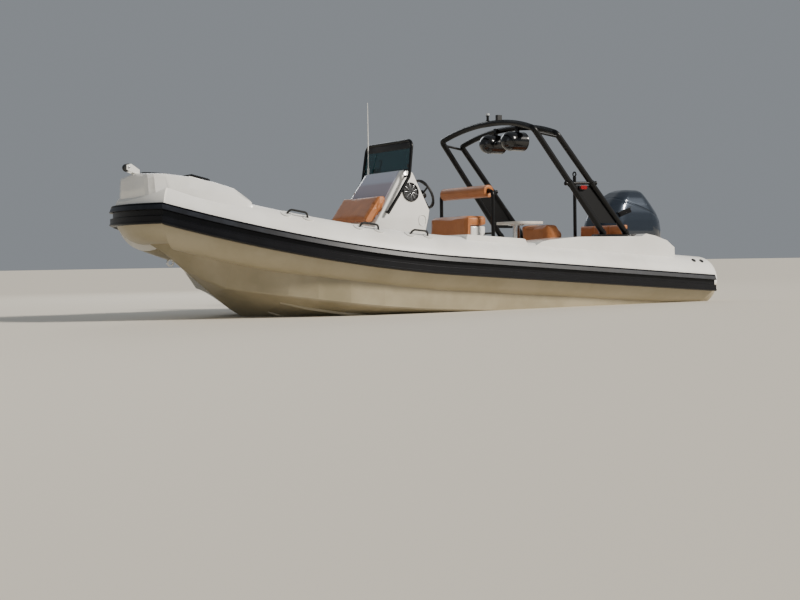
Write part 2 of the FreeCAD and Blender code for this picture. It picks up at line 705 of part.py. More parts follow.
CONSOLE_SIDE = [(250, SOLE_Z), (225, 820), (165, 1040), (340, 1425), (375, 1452), (456, 1456), (484, 1440),
                (668, 1165), (852, 900), (900, CONSOLE_SEAT_Z), (1280, CONSOLE_SEAT_Z), (1280, FORE_SOLE_Z),
                (1280, SOLE_Z)]
SPEAKER_HOLE = V(392.0, 0.0, 1225.0)
SPEAKER_HOLE_R = 100.0
CONSOLE_TOP_Z = 1456.0
CONSOLE_TOP_HALF = 345.0
CONSOLE_WAIST_Z = 960.0


def console_half(z):
    """Half breadth of the console, which leans in above its waist."""
    share = max(z - CONSOLE_WAIST_Z, 0.0) / (CONSOLE_TOP_Z - CONSOLE_WAIST_Z)
    return CONSOLE_HALF + (CONSOLE_TOP_HALF - CONSOLE_HALF) * share


def make_console():
    """Centre console with its forward seat, windscreen, wheel and small fittings."""
    block = profile_xz(CONSOLE_SIDE, -CONSOLE_HALF, CONSOLE_HALF)
    across = [(CONSOLE_HALF, SOLE_Z), (CONSOLE_HALF, CONSOLE_WAIST_Z), (console_half(1600), 1600)]
    across += [(-y, z) for y, z in reversed(across)]
    lean = Part.Face(outline([V(0, y, z) for y, z in across])).extrude(V(1500, 0, 0))
    body = block.common(lean)
    dash_out = V(-cos(WHEEL_RAKE), 0, sin(WHEEL_RAKE))
    top, low = CONSOLE_SIDE[6], CONSOLE_SIDE[8]
    slope = V(low[0] - top[0], 0, low[1] - top[1])
    out = V(-slope.z, 0, slope.x).normalize() * PANEL_T
    node("console", body)
    starts = [V(top[0], 0, top[1]) + slope * share for share in (0.0, 0.9)]
    corners = [p + V(0, s * (console_half(p.z) - PANEL_MARGIN), 0) for p, s in zip(starts + starts[::-1],
                                                                                (1, 1, -1, -1))]
    panel = Part.Face(outline(corners)).extrude(out).cut(body)
    node("console_front_panel", panel)
    make_windscreen(body)
    speakers = []
    for side in (1, -1):
        at = SPEAKER_HOLE + V(0, side * console_half(SPEAKER_HOLE.z), 0)
        square = V(0, side * (CONSOLE_TOP_Z - CONSOLE_WAIST_Z), CONSOLE_HALF - CONSOLE_TOP_HALF).normalize()
        disc = Part.makeCylinder(SPEAKER_HOLE_R, 26, at - square * 10, square)
        speakers.append(disc.cut(body))
    node("console_speakers", apart(speakers))
    make_wheel(dash_out, body)
    throttle = box((355, 412), (-290, -230), (1440, 1505))
    lever = bent_bar([V(385, -225, 1485), V(385, -205, 1485), V(350, -205, 1595), V(350, -260, 1595)], 10, 9)
    node("throttle", join([throttle, rod(V(385, -232, 1485), V(385, -215, 1485), 12), lever]).cut(body))
    whip_foot = V(466, -300, 1400)
    whip = Part.makeCone(7, 3, 700, whip_foot + V(0, 0, 115), V(0, 0, 1))
    node("antenna", join([Part.makeCylinder(14, 115, whip_foot, V(0, 0, 1)), whip]).cut(body))
    seat = box((905, 1290), (-CONSOLE_HALF + 10, CONSOLE_HALF - 10), (CONSOLE_SEAT_Z, CONSOLE_SEAT_Z + 100))
    node("console_seat_cushion", seat)
    back = [(672, 1160), (852, 905), (930, 905), (948, 930), (758, 1188), (694, 1192)]
    seat_back = profile_xz(back, -SEAT_BACK_HALF, SEAT_BACK_HALF)
    node("console_seat_back", seat_back.cut(body).cut(panel))


PANEL_MARGIN = 45.0
SEAT_BACK_HALF = 360.0
SCREEN_Y = 440.0
SCREEN_TOP_Y = 425.0
SCREEN_CORNER = 75.0


def make_windscreen(body):
    """Tinted flat glass in a black tube frame that runs on down the console's sides as a rail."""
    stands = []
    legs = []
    for side in (-1, 1):
        foot = V(725, side * SCREEN_Y, 1000)
        legs.append([foot, V(590, side * SCREEN_Y, 1185), V(452, side * SCREEN_Y, 1385),
                     V(SCREEN_X - 20, side * SCREEN_TOP_Y, SCREEN_TOP_Z)])
        stands.append(rod(foot + V(-12, 0, 17), V(713, 0, 1017), 11))
        stands.append(rod(V(452, side * SCREEN_Y, 1385), V(452, 0, 1385), 11))
    frame = join([bent_bar(legs[0] + legs[1][::-1], [150, 120, SCREEN_CORNER, SCREEN_CORNER, 120, 150],
                           SCREEN_BAR_R)] + [stand.cut(body) for stand in stands])
    frame = frame.cut(body)
    node("windscreen_frame", max(frame.Solids, key=lambda solid: solid.Volume))
    inset = SCREEN_BAR_R + 2
    low = V(SCREEN_X + 20, 0, SCREEN_BASE_Z)
    high = V(SCREEN_X - 20, 0, SCREEN_TOP_Z)
    points = [low - V(0, SCREEN_Y - inset, 0), low + V(0, SCREEN_Y - inset, 0),
              high + V(0, SCREEN_TOP_Y - inset, -inset - 8), high + V(0, inset - SCREEN_TOP_Y, -inset - 8)]
    face = Part.Face(outline(points))
    normal = face.normalAt(0, 0)
    glass = face.extrude(normal * GLASS_T)
    glass.translate(normal * (-GLASS_T / 2))
    glass = glass.cut(body).cut(frame)
    node("windscreen_glass", max(glass.Solids, key=lambda solid: solid.Volume))


def make_wheel(dash_out, body):
    """Steering wheel on its helm, square to the raked dash."""
    hub_length = 60.0
    hub_foot = WHEEL_CENTRE - dash_out * hub_length
    helm = join([rod(hub_foot - dash_out * 260, hub_foot - dash_out * RUN, 48)]).cut(body)
    node("helm_boss", max(helm.Solids, key=lambda s: s.CenterOfMass.distanceToPoint(V(900, 0, 0))))
    rim = Part.makeTorus(WHEEL_R, WHEEL_RIM_R, WHEEL_CENTRE, dash_out)
    across = V(0, 1, 0)
    down = dash_out.cross(across)
    spokes = []
    for angle in (90, 210, 330):
        ray = across * cos(radians(angle)) + down * sin(radians(angle))
        spokes.append(rod(WHEEL_CENTRE - dash_out * 20, WHEEL_CENTRE + ray * WHEEL_R, 10))
    hub = rod(hub_foot, WHEEL_CENTRE + dash_out * 6, 40)
    node("steering_wheel", join([rim, hub] + spokes))


def make_helm_seat():
    """Leaning post: moulded box, cushion, and a round bolster in a black U frame."""
    box_x = (SEAT_X[0] + 10, SEAT_X[1] - 15)
    cushion_z = SEAT_TOP_Z - CUSHION_T
    saddle = [(SEAT_X[0], cushion_z), (SEAT_X[0], SEAT_TOP_Z), (SEAT_X[1], SEAT_TOP_Z), (SEAT_X[1], SADDLE_Z),
              (SEAT_X[1] - SADDLE_T, SADDLE_Z), (SEAT_X[1] - SADDLE_T, cushion_z)]
    cushion = profile_xz(saddle, -SEAT_HALF, SEAT_HALF)
    pod = box(box_x, (-SEAT_HALF + 20, SEAT_HALF - 20), (SOLE_Z, cushion_z)).cut(cushion)
    node("helm_seat_base", pod)
    node("helm_seat_cushion", cushion)
    y = BACK_FRAME_Y
    low_x = BOLSTER_AT.x - 10
    frame = [V(low_x, -y, SOLE_Z), V(low_x, -y, BOLSTER_AT.z), V(low_x, y, BOLSTER_AT.z), V(low_x, y, SOLE_Z)]
    bar = bent_bar(frame, 45, BACK_FRAME_R)
    braces = [rod(V(low_x, s * y, 800), V(low_x, s * (SEAT_HALF - 20), 800), 11) for s in (-1, 1)]
    feet = [Part.makeCylinder(42, 8, V(low_x, s * y, SOLE_Z), V(0, 0, 1)) for s in (-1, 1)]
    node("helm_back_frame", join([bar] + braces + feet).cut(pod).cut(cushion))
    ends = V(0, BOLSTER_HALF, 0)
    centre = V(low_x, 0, BOLSTER_AT.z)
    bolster = rod(centre - ends, centre + ends, BOLSTER_R).cut(bar)
    node("helm_bolster", max(bolster.Solids, key=lambda s: s.Volume))


def make_lounge(coaming):
    """Table, port bench with its end rest, and the aft seat."""
    table_z = (TABLE_TOP_Z - TABLE_T, TABLE_TOP_Z)
    node("table_top", rounded_slab(TABLE_X, (-TABLE_HALF, TABLE_HALF), table_z, TABLE_CORNER))
    middle = V(PEDESTAL_X, 0, SOLE_Z)
    height = table_z[0] - SOLE_Z
    post = Part.makeCylinder(PEDESTAL_R, height, middle, V(0, 0, 1))
    foot = Part.makeCylinder(PEDESTAL_FOOT[0], PEDESTAL_FOOT[1], middle, V(0, 0, 1))
    head_at = middle + V(0, 0, height - PEDESTAL_HEAD[1])
    head = Part.makeCylinder(PEDESTAL_HEAD[0], PEDESTAL_HEAD[1], head_at, V(0, 0, 1))
    node("table_pedestal", join([post, foot, head]))
    wall = COCKPIT_HALF - 5
    seat_front = RISER_X[1]
    bench = box((AFT_SEAT_FORE_X, LOUNGE_FORE_X), (BENCH_IN_Y, wall), (SOLE_Z, LOUNGE_SEAT_Z))
    aft = box((seat_front, AFT_SEAT_FORE_X), (AFT_SEAT_END_Y, wall), (SOLE_Z, LOUNGE_SEAT_Z))
    riser = box(RISER_X, (AFT_SEAT_END_Y, wall), (SOLE_Z, RISER_Z))
    node("lounge_base", join([bench, aft, riser]))
    seat_z = (LOUNGE_SEAT_Z, LOUNGE_SEAT_Z + LOUNGE_PAD_T)
    side_seat = box((AFT_SEAT_FORE_X + 3, LOUNGE_FORE_X - END_REST_T - 3), (BENCH_IN_Y, wall - 5), seat_z)
    node("lounge_side_cushion", side_seat)
    node("lounge_aft_cushion", box((seat_front + 3, AFT_SEAT_FORE_X), (AFT_SEAT_END_Y, wall - 5), seat_z))
    back = [(AFT_BACK_X[1], RISER_Z), (AFT_BACK_X[1] - AFT_BACK_RAKE, AFT_BACK_TOP_Z),
            (AFT_BACK_X[0] - AFT_BACK_RAKE, AFT_BACK_TOP_Z), (AFT_BACK_X[0], RISER_Z)]
    node("lounge_aft_back", profile_xz(back, *AFT_BACK_Y).cut(coaming))
    rest_aft_x = LOUNGE_FORE_X - END_REST_T
    rest = [(LOUNGE_FORE_X, LOUNGE_SEAT_Z), (LOUNGE_FORE_X, END_REST_TOP_Z),
            (rest_aft_x + END_REST_BEVEL[0], END_REST_TOP_Z),
            (rest_aft_x, END_REST_TOP_Z - END_REST_BEVEL[1]), (rest_aft_x, LOUNGE_SEAT_Z)]
    node("lounge_end_rest", profile_xz(rest, END_REST_IN_Y, wall - 5))


def hoop_points(row):
    """Feet, corners and crown of one hoop of the arch, from starboard to port."""
    foot_x, corner_x, corner_y, corner_z, crown_x, crown_z = row
    half = [V(foot_x, -ARCH_FOOT_Y, ARCH_FOOT_Z), V(corner_x, -corner_y, corner_z),
            V(crown_x, -ARCH_CROWN_Y, crown_z)]
    return half + [V(p.x, -p.y, p.z) for p in reversed(half)]


def leg_at(row, z, side):
    """A point on one leg of a hoop at a height."""
    foot_x, corner_x, corner_y, corner_z = row[:4]
    share = (z - ARCH_FOOT_Z) / (corner_z - ARCH_FOOT_Z)
    y = ARCH_FOOT_Y + (corner_y - ARCH_FOOT_Y) * share
    return V(foot_x + (corner_x - foot_x) * share, side * y, z)


def make_arch(coaming):
    """Two raked hoops with side plates, bases, lamps and speakers."""
    bars = {}
    for name, row in HOOPS.items():
        bends = [ARCH_BEND, ARCH_CROWN_BEND, ARCH_CROWN_BEND, ARCH_BEND]
        bars[name] = bent_bar(hoop_points(row), bends, ARCH_R)
        node(name, bars[name])
    fore, aft = HOOPS["arch_forward_hoop"], HOOPS["arch_aft_hoop"]
    hoops = bars["arch_forward_hoop"].fuse(bars["arch_aft_hoop"])
    plates, bases, braces = [], [], []
    for name, side in SIDES:
        corners = []
        for z, legs in ((PLATE_TOP_Z, (fore, aft)), (PLATE_LOW_Z, (aft, fore))):
            y = leg_at(fore, z, side).y
            corners += [V(leg_at(leg, z, side).x, y, z) for leg in legs]
        face = Part.Face(outline(corners))
        plate = face.extrude(V(0, side * ARCH_PLATE_T, 0))
        plate.translate(V(0, -side * ARCH_PLATE_T / 2, 0))
        plate = plate.cut(hoops)
        plates.append(max(plate.Solids, key=lambda s: s.Volume))
        low_z = ARCH_FOOT_Z - ARCH_BASE_SINK
        profile = [(ARCH_BASE_LOW_X[1], low_z), (ARCH_BASE_X[1], ARCH_FOOT_Z), (ARCH_BASE_X[0], ARCH_FOOT_Z),
                   (ARCH_BASE_LOW_X[0], low_z)]
        base = profile_xz(profile, ARCH_FOOT_Y - ARCH_BASE_HALF, ARCH_FOOT_Y + ARCH_BASE_HALF)
        bases.append(on_side(base.cut(coaming), side).cut(hoops))
        lamp_at = (leg_at(fore, LAMP_Z, side) + leg_at(aft, LAMP_Z, side)) * 0.5 + V(LAMP_AHEAD, 0, 0)
        lamp = box((lamp_at.x - LAMP_HALF[0], lamp_at.x + LAMP_HALF[0]), (lamp_at.y, lamp_at.y + side * 34),
                   (LAMP_Z - LAMP_HALF[1], LAMP_Z + LAMP_HALF[1]))
        lamp = lamp.makeFillet(LAMP_HALF[1] - 2, [e for e in lamp.Edges if abs(e.tangentAt(0).y) > 0.99])
        node("nav_light_" + name, lamp.cut(plate))
        ties = [leg_at(leg, leg[3] - TIE_DROP, side) for leg in (fore, aft)]
        plates.append(rod(ties[0], ties[1], TIE_R).cut(hoops))
        ends = [leg_at(fore, BRACE_Z, side), leg_at(aft, BRACE_Z + BRACE_RISE, side)]
        along = (ends[1] - ends[0]).normalize()
        brace = [rod(ends[0] - along * BRACE_PAST, ends[1] + along * BRACE_PAST, BRACE_R)]
        brace += [rod(end, end + step * 14, BRACE_R + 6) for end, step in (
            (ends[0] - along * BRACE_PAST, along), (ends[1] + along * BRACE_PAST, along * -1))]
        braces += join(brace).cut(hoops).cut(plate).Solids
    plates = [max(p.Solids, key=lambda s: s.Volume) for p in plates]
    node("arch_side_plates", apart(plates + [brace for brace in braces if brace.Volume > 1e3]))
    node("arch_bases", apart([max(b.Solids, key=lambda s: s.Volume) for b in bases]))
    make_arch_fittings(hoops)


PLATE_TOP_Z = 1310.0
PLATE_LOW_Z = 900.0
ARCH_BASE_X = (-2302.0, -1720.0)
ARCH_BASE_LOW_X = (-2290.0, -1640.0)
ARCH_BASE_SINK = 75.0
ARCH_BASE_HALF = 50.0
BRACE_Z = 1328.0
BRACE_R = 17.0
BRACE_RISE = 8.0
BRACE_PAST = 68.0
TIE_DROP = 42.0
TIE_R = 14.0
LAMP_Z = 1286.0
LAMP_AHEAD = 26.0
LAMP_HALF = (45.0, 20.0)
LIGHT_Y = -10.0
STERN_LIGHT = (  # radius, height, z of the low end over the crown
    (22.0, 10.0, -8.0),
    (12.0, 60.0, 0.0),
    (22.0, 26.0, 60.0),
)
SENSOR_Y = 185.0
SENSOR_HALF = (30.0, 20.0)
SENSOR_H = 48.0


def make_arch_fittings(hoops):
    """Stern light and small sensor on the crown, and two tower speakers below it."""
    crown_z = HOOPS["arch_forward_hoop"][5]
    crown_x = HOOPS["arch_forward_hoop"][4]
    crown = V(crown_x, LIGHT_Y, crown_z + ARCH_R)
    light = [Part.makeCylinder(radius, height, crown + V(0, 0, z)) for radius, height, z in STERN_LIGHT]
    node("stern_light", join(light).cut(hoops))
    node("crown_sensor", box((crown_x - SENSOR_HALF[0], crown_x + SENSOR_HALF[0]),
                             (SENSOR_Y - SENSOR_HALF[1], SENSOR_Y + SENSOR_HALF[1]),
                             (crown_z + ARCH_R - 16, crown_z + ARCH_R + SENSOR_H)).cut(hoops))
    pods = []
    for side in (-1, 1):
        at = SPEAKER_AT + V(0, side * SPEAKER_Y, 0)
        nose = Part.makeSphere(SPEAKER_R, at + V(SPEAKER_LENGTH / 2 - 60, 0, 0))
        nose = nose.common(box((at.x + SPEAKER_LENGTH / 2 - 60, at.x + 900), (-900, 900), (1000, 2500)))
        can = Part.makeCylinder(SPEAKER_R, SPEAKER_LENGTH - 60, at - V(SPEAKER_LENGTH / 2, 0, 0), V(1, 0, 0))
        clamp = box((at.x - 60, at.x - 30), (at.y - 20, at.y + 20), (at.z + SPEAKER_R - 20, crown_z - 20))
        pods.append(join([can, nose, clamp]).cut(hoops))
    node("tower_speakers", apart([max(p.Solids, key=lambda s: s.Volume) for p in pods]))


def make_pole():
    """Tow pole behind the aft seat, with its eye on top."""
    foot = V(POLE_X, 0, RISER_Z)
    eye_at = V(POLE_X, 0, POLE_TOP_Z + POLE_EYE_R + POLE_EYE_BAR - 3)
    eye = ring(eye_at, V(1, 0, 0), POLE_EYE_R, POLE_EYE_BAR)
    flange = Part.makeCylinder(28, 10, foot, V(0, 0, 1))
    node("tow_pole", join([rod(foot, V(POLE_X, 0, POLE_TOP_Z), POLE_R), eye, flange]))
    return eye_at


def ring_section(x_pair, half, z, corner):
    """A level rounded outline of the engine."""
    x0, x1 = x_pair
    return rounded([V(x1, half, z), V(x1, -half, z), V(x0, -half, z), V(x0, half, z)], corner)


def cowl_section(x_pair, half, z):
    """A level outline of the cowl, narrower at its nose and tail."""
    x0, x1 = x_pair
    length = x1 - x0
    points = [(x1, half * COWL_NOSE_SHARE), (x1 - length * 0.2, half),
              (x0 + length * 0.16, half), (x0, half * COWL_TAIL_SHARE)]
    points += [(x, -y) for x, y in reversed(points)]
    radii = [length * share for share in (0.08, 0.3, 0.3, 0.1)]
    return rounded([V(x, y, z) for x, y in points], radii + radii[::-1])


COWL = (  # aft and forward x, half breadth, z
    ((-3450.0, -2530.0), 225.0, COWL_FLOOR_Z),
    ((-3500.0, -2500.0), 262.0, 690.0),
    ((-3505.0, -2500.0), 272.0, 830.0),
    ((-3480.0, -2540.0), 270.0, 960.0),
    ((-3425.0, -2582.0), 260.0, 1060.0),
    ((-3350.0, -2660.0), 238.0, 1155.0),
    ((-3290.0, -2765.0), 200.0, 1240.0),
    ((-3250.0, -2870.0), 150.0, 1305.0),
    ((-3200.0, -2960.0), 95.0, 1335.0),
)
PAN_Z = 530.0

LEG = (  # aft and forward x from the steering axis, half breadth, z, corner
    ((-330.0, -75.0), 100.0, 560.0, 40.0),
    ((-310.0, -80.0), 80.0, 200.0, 40.0),
    ((-300.0, -85.0), 55.0, -200.0, 40.0),
    ((-320.0, -70.0), 45.0, PLATE_Z + PLATE_T, 30.0),
)


def leg_section(x_pair, half, z, corner):
    """A level outline of the leg, placed from the steering axis."""
    return ring_section([STEER_X + x for x in x_pair], half, z, corner)


def make_engine():
    """Outboard on the transom: clamp bracket, swivel, midsection, cowl, gearcase, propeller."""
    arm_y = 130.0
    cheeks = []
    aft_face = TRANSOM_X
    for side in (1, -1):
        y0 = side * arm_y
        inside = aft_face + TRANSOM_THICK + 25
        cheek = [(inside, TRANSOM_TOP_Z), (inside, TILT_AT.z - 30), (TILT_AT.x + 40, TILT_AT.z + 26),
                 (TILT_AT.x - 30, TILT_AT.z + 26), (TILT_AT.x - 45, TILT_AT.z - 70), (aft_face - 45, -120),
                 (aft_face, -120), (aft_face, TRANSOM_TOP_Z)]
        cheeks.append(profile_xz(cheek, y0, y0 + side * 30))
    shaft = rod(TILT_AT - V(0, arm_y, 0), TILT_AT + V(0, arm_y, 0), 22)
    node("engine_clamp", join(cheeks + [shaft]))
    swivel_top = TILT_AT.z + 28
    swivel = [Part.makeCylinder(62, swivel_top + 66, V(STEER_X, 0, -60), V(0, 0, 1))]
    arm = [(STEER_X, TILT_AT.z - 150), (STEER_X, swivel_top), (TILT_AT.x + 35, swivel_top),
           (TILT_AT.x + 35, TILT_AT.z - 40), (TILT_AT.x - 20, TILT_AT.z - 55)]
    swivel.append(profile_xz(arm, -arm_y + 6, arm_y - 6))
    swivel = join(swivel).cut(rod(TILT_AT - V(0, 400, 0), TILT_AT + V(0, 400, 0), 22 + PIN_RUN))
    swivel = swivel.cut(Part.makeCylinder(26 + PIN_RUN, 2000, V(STEER_X, 0, -1000), V(0, 0, 1)))
    node("engine_swivel", swivel)
    king_pin = Part.makeCylinder(26, 660, V(STEER_X, 0, -110), V(0, 0, 1))
    top_yoke = box((STEER_X - 300, STEER_X + 60), (-110, 110), (swivel_top + 12, 560))
    low_yoke = box((STEER_X - 120, STEER_X + 50), (-60, 60), (-130, -66))
    leg = Part.makeLoft([leg_section(*row) for row in LEG], True, True)
    pan = Part.makeLoft([cowl_section((-3330, -2770), 150, PAN_Z), cowl_section(*COWL[0])], True, True)
    node("engine_midsection", join([king_pin, top_yoke, low_yoke, leg, pan]))
    node("engine_cowl", Part.makeLoft([cowl_section(*row) for row in COWL], True, True))
    make_gearcase()


def make_gearcase():
    """Gearcase with its plate, torpedo and skeg, and the propeller on its shaft."""
    plate_outline = [(0, 40), (-80, 70), (-470, 90), (-550, 60)]
    plate = plan(both([(STEER_X + x, y) for x, y in plate_outline]), PLATE_Z, PLATE_Z + PLATE_T)
    strut = Part.makeLoft([leg_section((-330, -60), 42, PLATE_Z, 30),
                           leg_section((-290, -80), 34, PROP_AT.z, 25)], True, True)
    nose_x = STEER_X + 10
    aft_x = PROP_AT.x
    torpedo = Part.makeCylinder(58, abs(aft_x - nose_x) - 90, V(aft_x, 0, PROP_AT.z), V(1, 0, 0))
    point = Part.makeCone(58, 12, 90, V(nose_x - 90, 0, PROP_AT.z), V(1, 0, 0))
    skeg_outline = [(-50, 0), (-180, -225), (-280, -225), (-300, 0)]
    skeg = profile_xz([(STEER_X + x, PROP_AT.z + z) for x, z in skeg_outline], -7, 7)
    shaft = Part.makeCylinder(14, 150, V(aft_x - 148, 0, PROP_AT.z), V(1, 0, 0))
    node("engine_gearcase", join([plate, strut, torpedo, point, skeg, shaft]))
    hub_front = aft_x - 3
    hub = Part.makeCone(56, 46, 130, V(hub_front, 0, PROP_AT.z), V(-1, 0, 0))
    blades = []
    for index in range(3):
        blade = Part.makeCylinder(PROP_R, 9, V(hub_front - 65, 0, PROP_AT.z), V(1, 0, 0))
        wedge = box((hub_front - 200, hub_front + 100), (-68, 68), (PROP_AT.z, PROP_AT.z + PROP_R))
        blade = blade.common(wedge)
        blade.rotate(V(hub_front - 60, 0, PROP_AT.z), V(0, 0, 1), 28)
        blade.rotate(V(hub_front, 0, PROP_AT.z), V(1, 0, 0), 120.0 * index)
        blades.append(blade)
    bore = Part.makeCylinder(14 + PIN_RUN, 400, V(aft_x - 300, 0, PROP_AT.z), V(1, 0, 0))
    node("propeller", join([hub] + blades).cut(bore))


def main():
    tubes, strakes = make_collar()
    body, liner = make_hull(tubes)
    coaming = make_coamings(tubes, body)
    hinge, eye_at = make_bow(tubes, strakes, liner, body)
    make_handles(tubes[0])
    make_valves(tubes[0])
    make_console()
    make_helm_seat()
    make_lounge(coaming)
    make_arch(coaming)
    tow_eye = make_pole()
    make_engine()
    print("lid hinge", hinge, "bow eye", eye_at, "tow eye", tow_eye)
    volume = 0.0
    for name, shape in NODES:
        solids = len(shape.Solids)
        volume += shape.Volume
        fault = "" if shape.isValid() and solids else "  NOT VALID"
        b = shape.optimalBoundingBox(False)
        print(name, solids, round(shape.Volume / 1e9, 5), round(b.XMin), round(b.XMax), round(b.YMin),
              round(b.YMax), round(b.ZMin), round(b.ZMax), fault)
    print(len(NODES), "nodes", round(volume / 1e9, 4), "cubic metres")


main()
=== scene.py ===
# %% [markdown]
# # Rigid inflatable boat
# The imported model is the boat's fixed frame: its rigid shapes are already right in size and place.
# This notebook gives each of them a finish, and adds the soft and the finely shaped pieces on top.

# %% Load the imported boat
import json
import math

import bmesh
import bpy
from mathutils import Matrix, Vector


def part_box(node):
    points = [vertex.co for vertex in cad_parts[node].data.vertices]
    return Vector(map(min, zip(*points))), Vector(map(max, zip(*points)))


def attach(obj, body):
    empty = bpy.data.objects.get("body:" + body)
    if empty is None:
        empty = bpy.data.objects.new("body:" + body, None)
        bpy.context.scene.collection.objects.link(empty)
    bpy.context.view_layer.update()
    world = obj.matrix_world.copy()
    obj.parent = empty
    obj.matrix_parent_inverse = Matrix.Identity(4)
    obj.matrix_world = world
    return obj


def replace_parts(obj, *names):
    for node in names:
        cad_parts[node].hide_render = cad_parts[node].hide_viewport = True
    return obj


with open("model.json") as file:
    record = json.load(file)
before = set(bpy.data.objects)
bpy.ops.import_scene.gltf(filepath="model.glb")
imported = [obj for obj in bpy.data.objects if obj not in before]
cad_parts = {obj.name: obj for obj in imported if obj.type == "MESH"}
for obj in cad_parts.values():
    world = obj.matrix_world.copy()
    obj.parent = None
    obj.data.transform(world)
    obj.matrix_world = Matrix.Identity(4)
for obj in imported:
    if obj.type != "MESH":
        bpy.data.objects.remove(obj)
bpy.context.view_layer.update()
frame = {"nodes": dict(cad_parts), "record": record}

# %% [markdown]
# The camera stands low, off the port bow, with a moderately long lens. It leans a little, because
# level lines in the picture rise to the right. A camera looks along its own -Z axis, so it is rolled
# about that axis first, then turned upright, and then round to its heading.

# %% Camera
CAMERA_AT = Vector((7.52, 10.52, 0.51))
HEADING = math.radians(145.5)
LOOK_DOWN = math.radians(1.83)
ROLL = math.radians(-0.905)
LENS_MM = 54.0
FILM_WIDTH_MM = 36.0

camera_data = bpy.data.cameras.new("bow_view")
camera_data.lens = LENS_MM
camera_data.sensor_width = FILM_WIDTH_MM
camera = bpy.data.objects.new("bow_view", camera_data)
bpy.context.scene.collection.objects.link(camera)
turn = Matrix.Rotation(HEADING, 4, "Z") @ Matrix.Rotation(math.pi / 2 - LOOK_DOWN, 4, "X")
camera.matrix_world = Matrix.Translation(CAMERA_AT) @ turn @ Matrix.Rotation(ROLL, 4, "Z")
bpy.context.scene.camera = camera
print("camera", [round(v, 3) for v in camera.location])

# %% [markdown]
# Soft studio light: a large warm key shines from high off the port side and a little aft, so the
# bow and every forward face lie in shade. A cool panel lifts the bow, a rim light draws the far
# edges, and a pale world fills the rest. The floor lies at the waterline, so as much of the hull
# shows as when the boat floats.

# %% Light and floor
KEY_TRAVELS = (0.55, -0.80, -0.62)
FLOOR_SIZE = 400.0


def add_panel(name, at, aim, size, power, tint):
    """A square area light at a place, turned to face a point."""
    data = bpy.data.lights.new(name, "AREA")
    data.size = size
    data.energy = power
    data.color = tint
    lamp = bpy.data.objects.new(name, data)
    lamp.location = at
    lamp.rotation_euler = (Vector(aim) - Vector(at)).to_track_quat("-Z", "Y").to_euler()
    bpy.context.scene.collection.objects.link(lamp)
    return lamp


key = bpy.data.objects.new("high_key", bpy.data.lights.new("high_key", "SUN"))
key.data.energy = 4.6
key.data.angle = math.radians(9)
key.data.color = (1.0, 0.95, 0.87)
key.rotation_euler = Vector(KEY_TRAVELS).to_track_quat("-Z", "Y").to_euler()
bpy.context.scene.collection.objects.link(key)
add_panel("bow_fill", (9.0, 5.0, 4.0), (1.5, 0.5, 0.6), 5.0, 45.0, (0.86, 0.93, 1.0))
add_panel("far_rim", (-2.0, -9.0, 6.0), (0.0, 0.0, 0.8), 4.0, 200.0, (0.92, 0.96, 1.0))

world = bpy.data.worlds.new("pale_room")
world.use_nodes = True
world.node_tree.nodes["Background"].inputs["Color"].default_value = (0.80, 0.86, 0.93, 1.0)
world.node_tree.nodes["Background"].inputs["Strength"].default_value = 0.30
bpy.context.scene.world = world

bpy.ops.mesh.primitive_plane_add(size=FLOOR_SIZE, location=(0.0, 0.0, 0.0))
floor = bpy.context.active_object
floor.name = "floor"

# %% [markdown]
# Colours are written as they look on a screen, in sRGB hex, and turned into the linear values that
# shaders work with. One small function adds a shader node: a keyword that names an input either
# links a socket to it or sets its value, and any other keyword sets the node's own property. Object
# coordinates are in metres, so a pattern's scale is how often its feature fits into one metre.

# %% Colour and node helpers
def linear(hex_colour, alpha=1.0):
    """Linear RGBA of an sRGB hex colour."""
    channels = [int(hex_colour[i:i + 2], 16) / 255 for i in (1, 3, 5)]
    return [c / 12.92 if c <= 0.04045 else ((c + 0.055) / 1.055) ** 2.4 for c in channels] + [alpha]


def every(millimetres):
    """Scale of a pattern whose feature has this size."""
    return 1000.0 / millimetres


def waves_every(millimetres):
    """Scale of a wave texture, which fits twenty radians into one unit."""
    return every(millimetres) * math.tau / 20.0


def add_node(tree, kind, **settings):
    """Add one shader node with its settings and links."""
    made = tree.nodes.new("ShaderNode" + kind)
    for key, value in settings.items():
        if hasattr(made, key):
            setattr(made, key, value)
            continue
        socket = made.inputs[key.replace("_", " ")]
        if isinstance(value, bpy.types.NodeSocket):
            tree.links.new(value, socket)
        else:
            socket.default_value = value
    return made


def new_finish(name, **surface):
    """A material whose Principled shader starts from the given values."""
    material = bpy.data.materials.new(name)
    material.use_nodes = True
    shader = material.node_tree.nodes["Principled BSDF"]
    for key, value in surface.items():
        shader.inputs[key.replace("_", " ")].default_value = value
    place = add_node(material.node_tree, "TexCoord").outputs["Object"]
    return material, material.node_tree, shader, place


FINISHES = {}


def keep(slot_name, material):
    """Remember a finish under the record's slot name."""
    FINISHES[slot_name] = material
    print("finish", slot_name, material.name)


# %% [markdown]
# The floor is a matt painted surface, pale and plain, so that nothing on it draws the eye. It has no
# pattern, because it is only the stage.

# %% Floor paint
paint, tree, shader, place = new_finish("matt_floor_paint", Base_Color=linear("#DAD3C5"),
                                        Roughness=0.85)
floor.data.materials.append(paint)
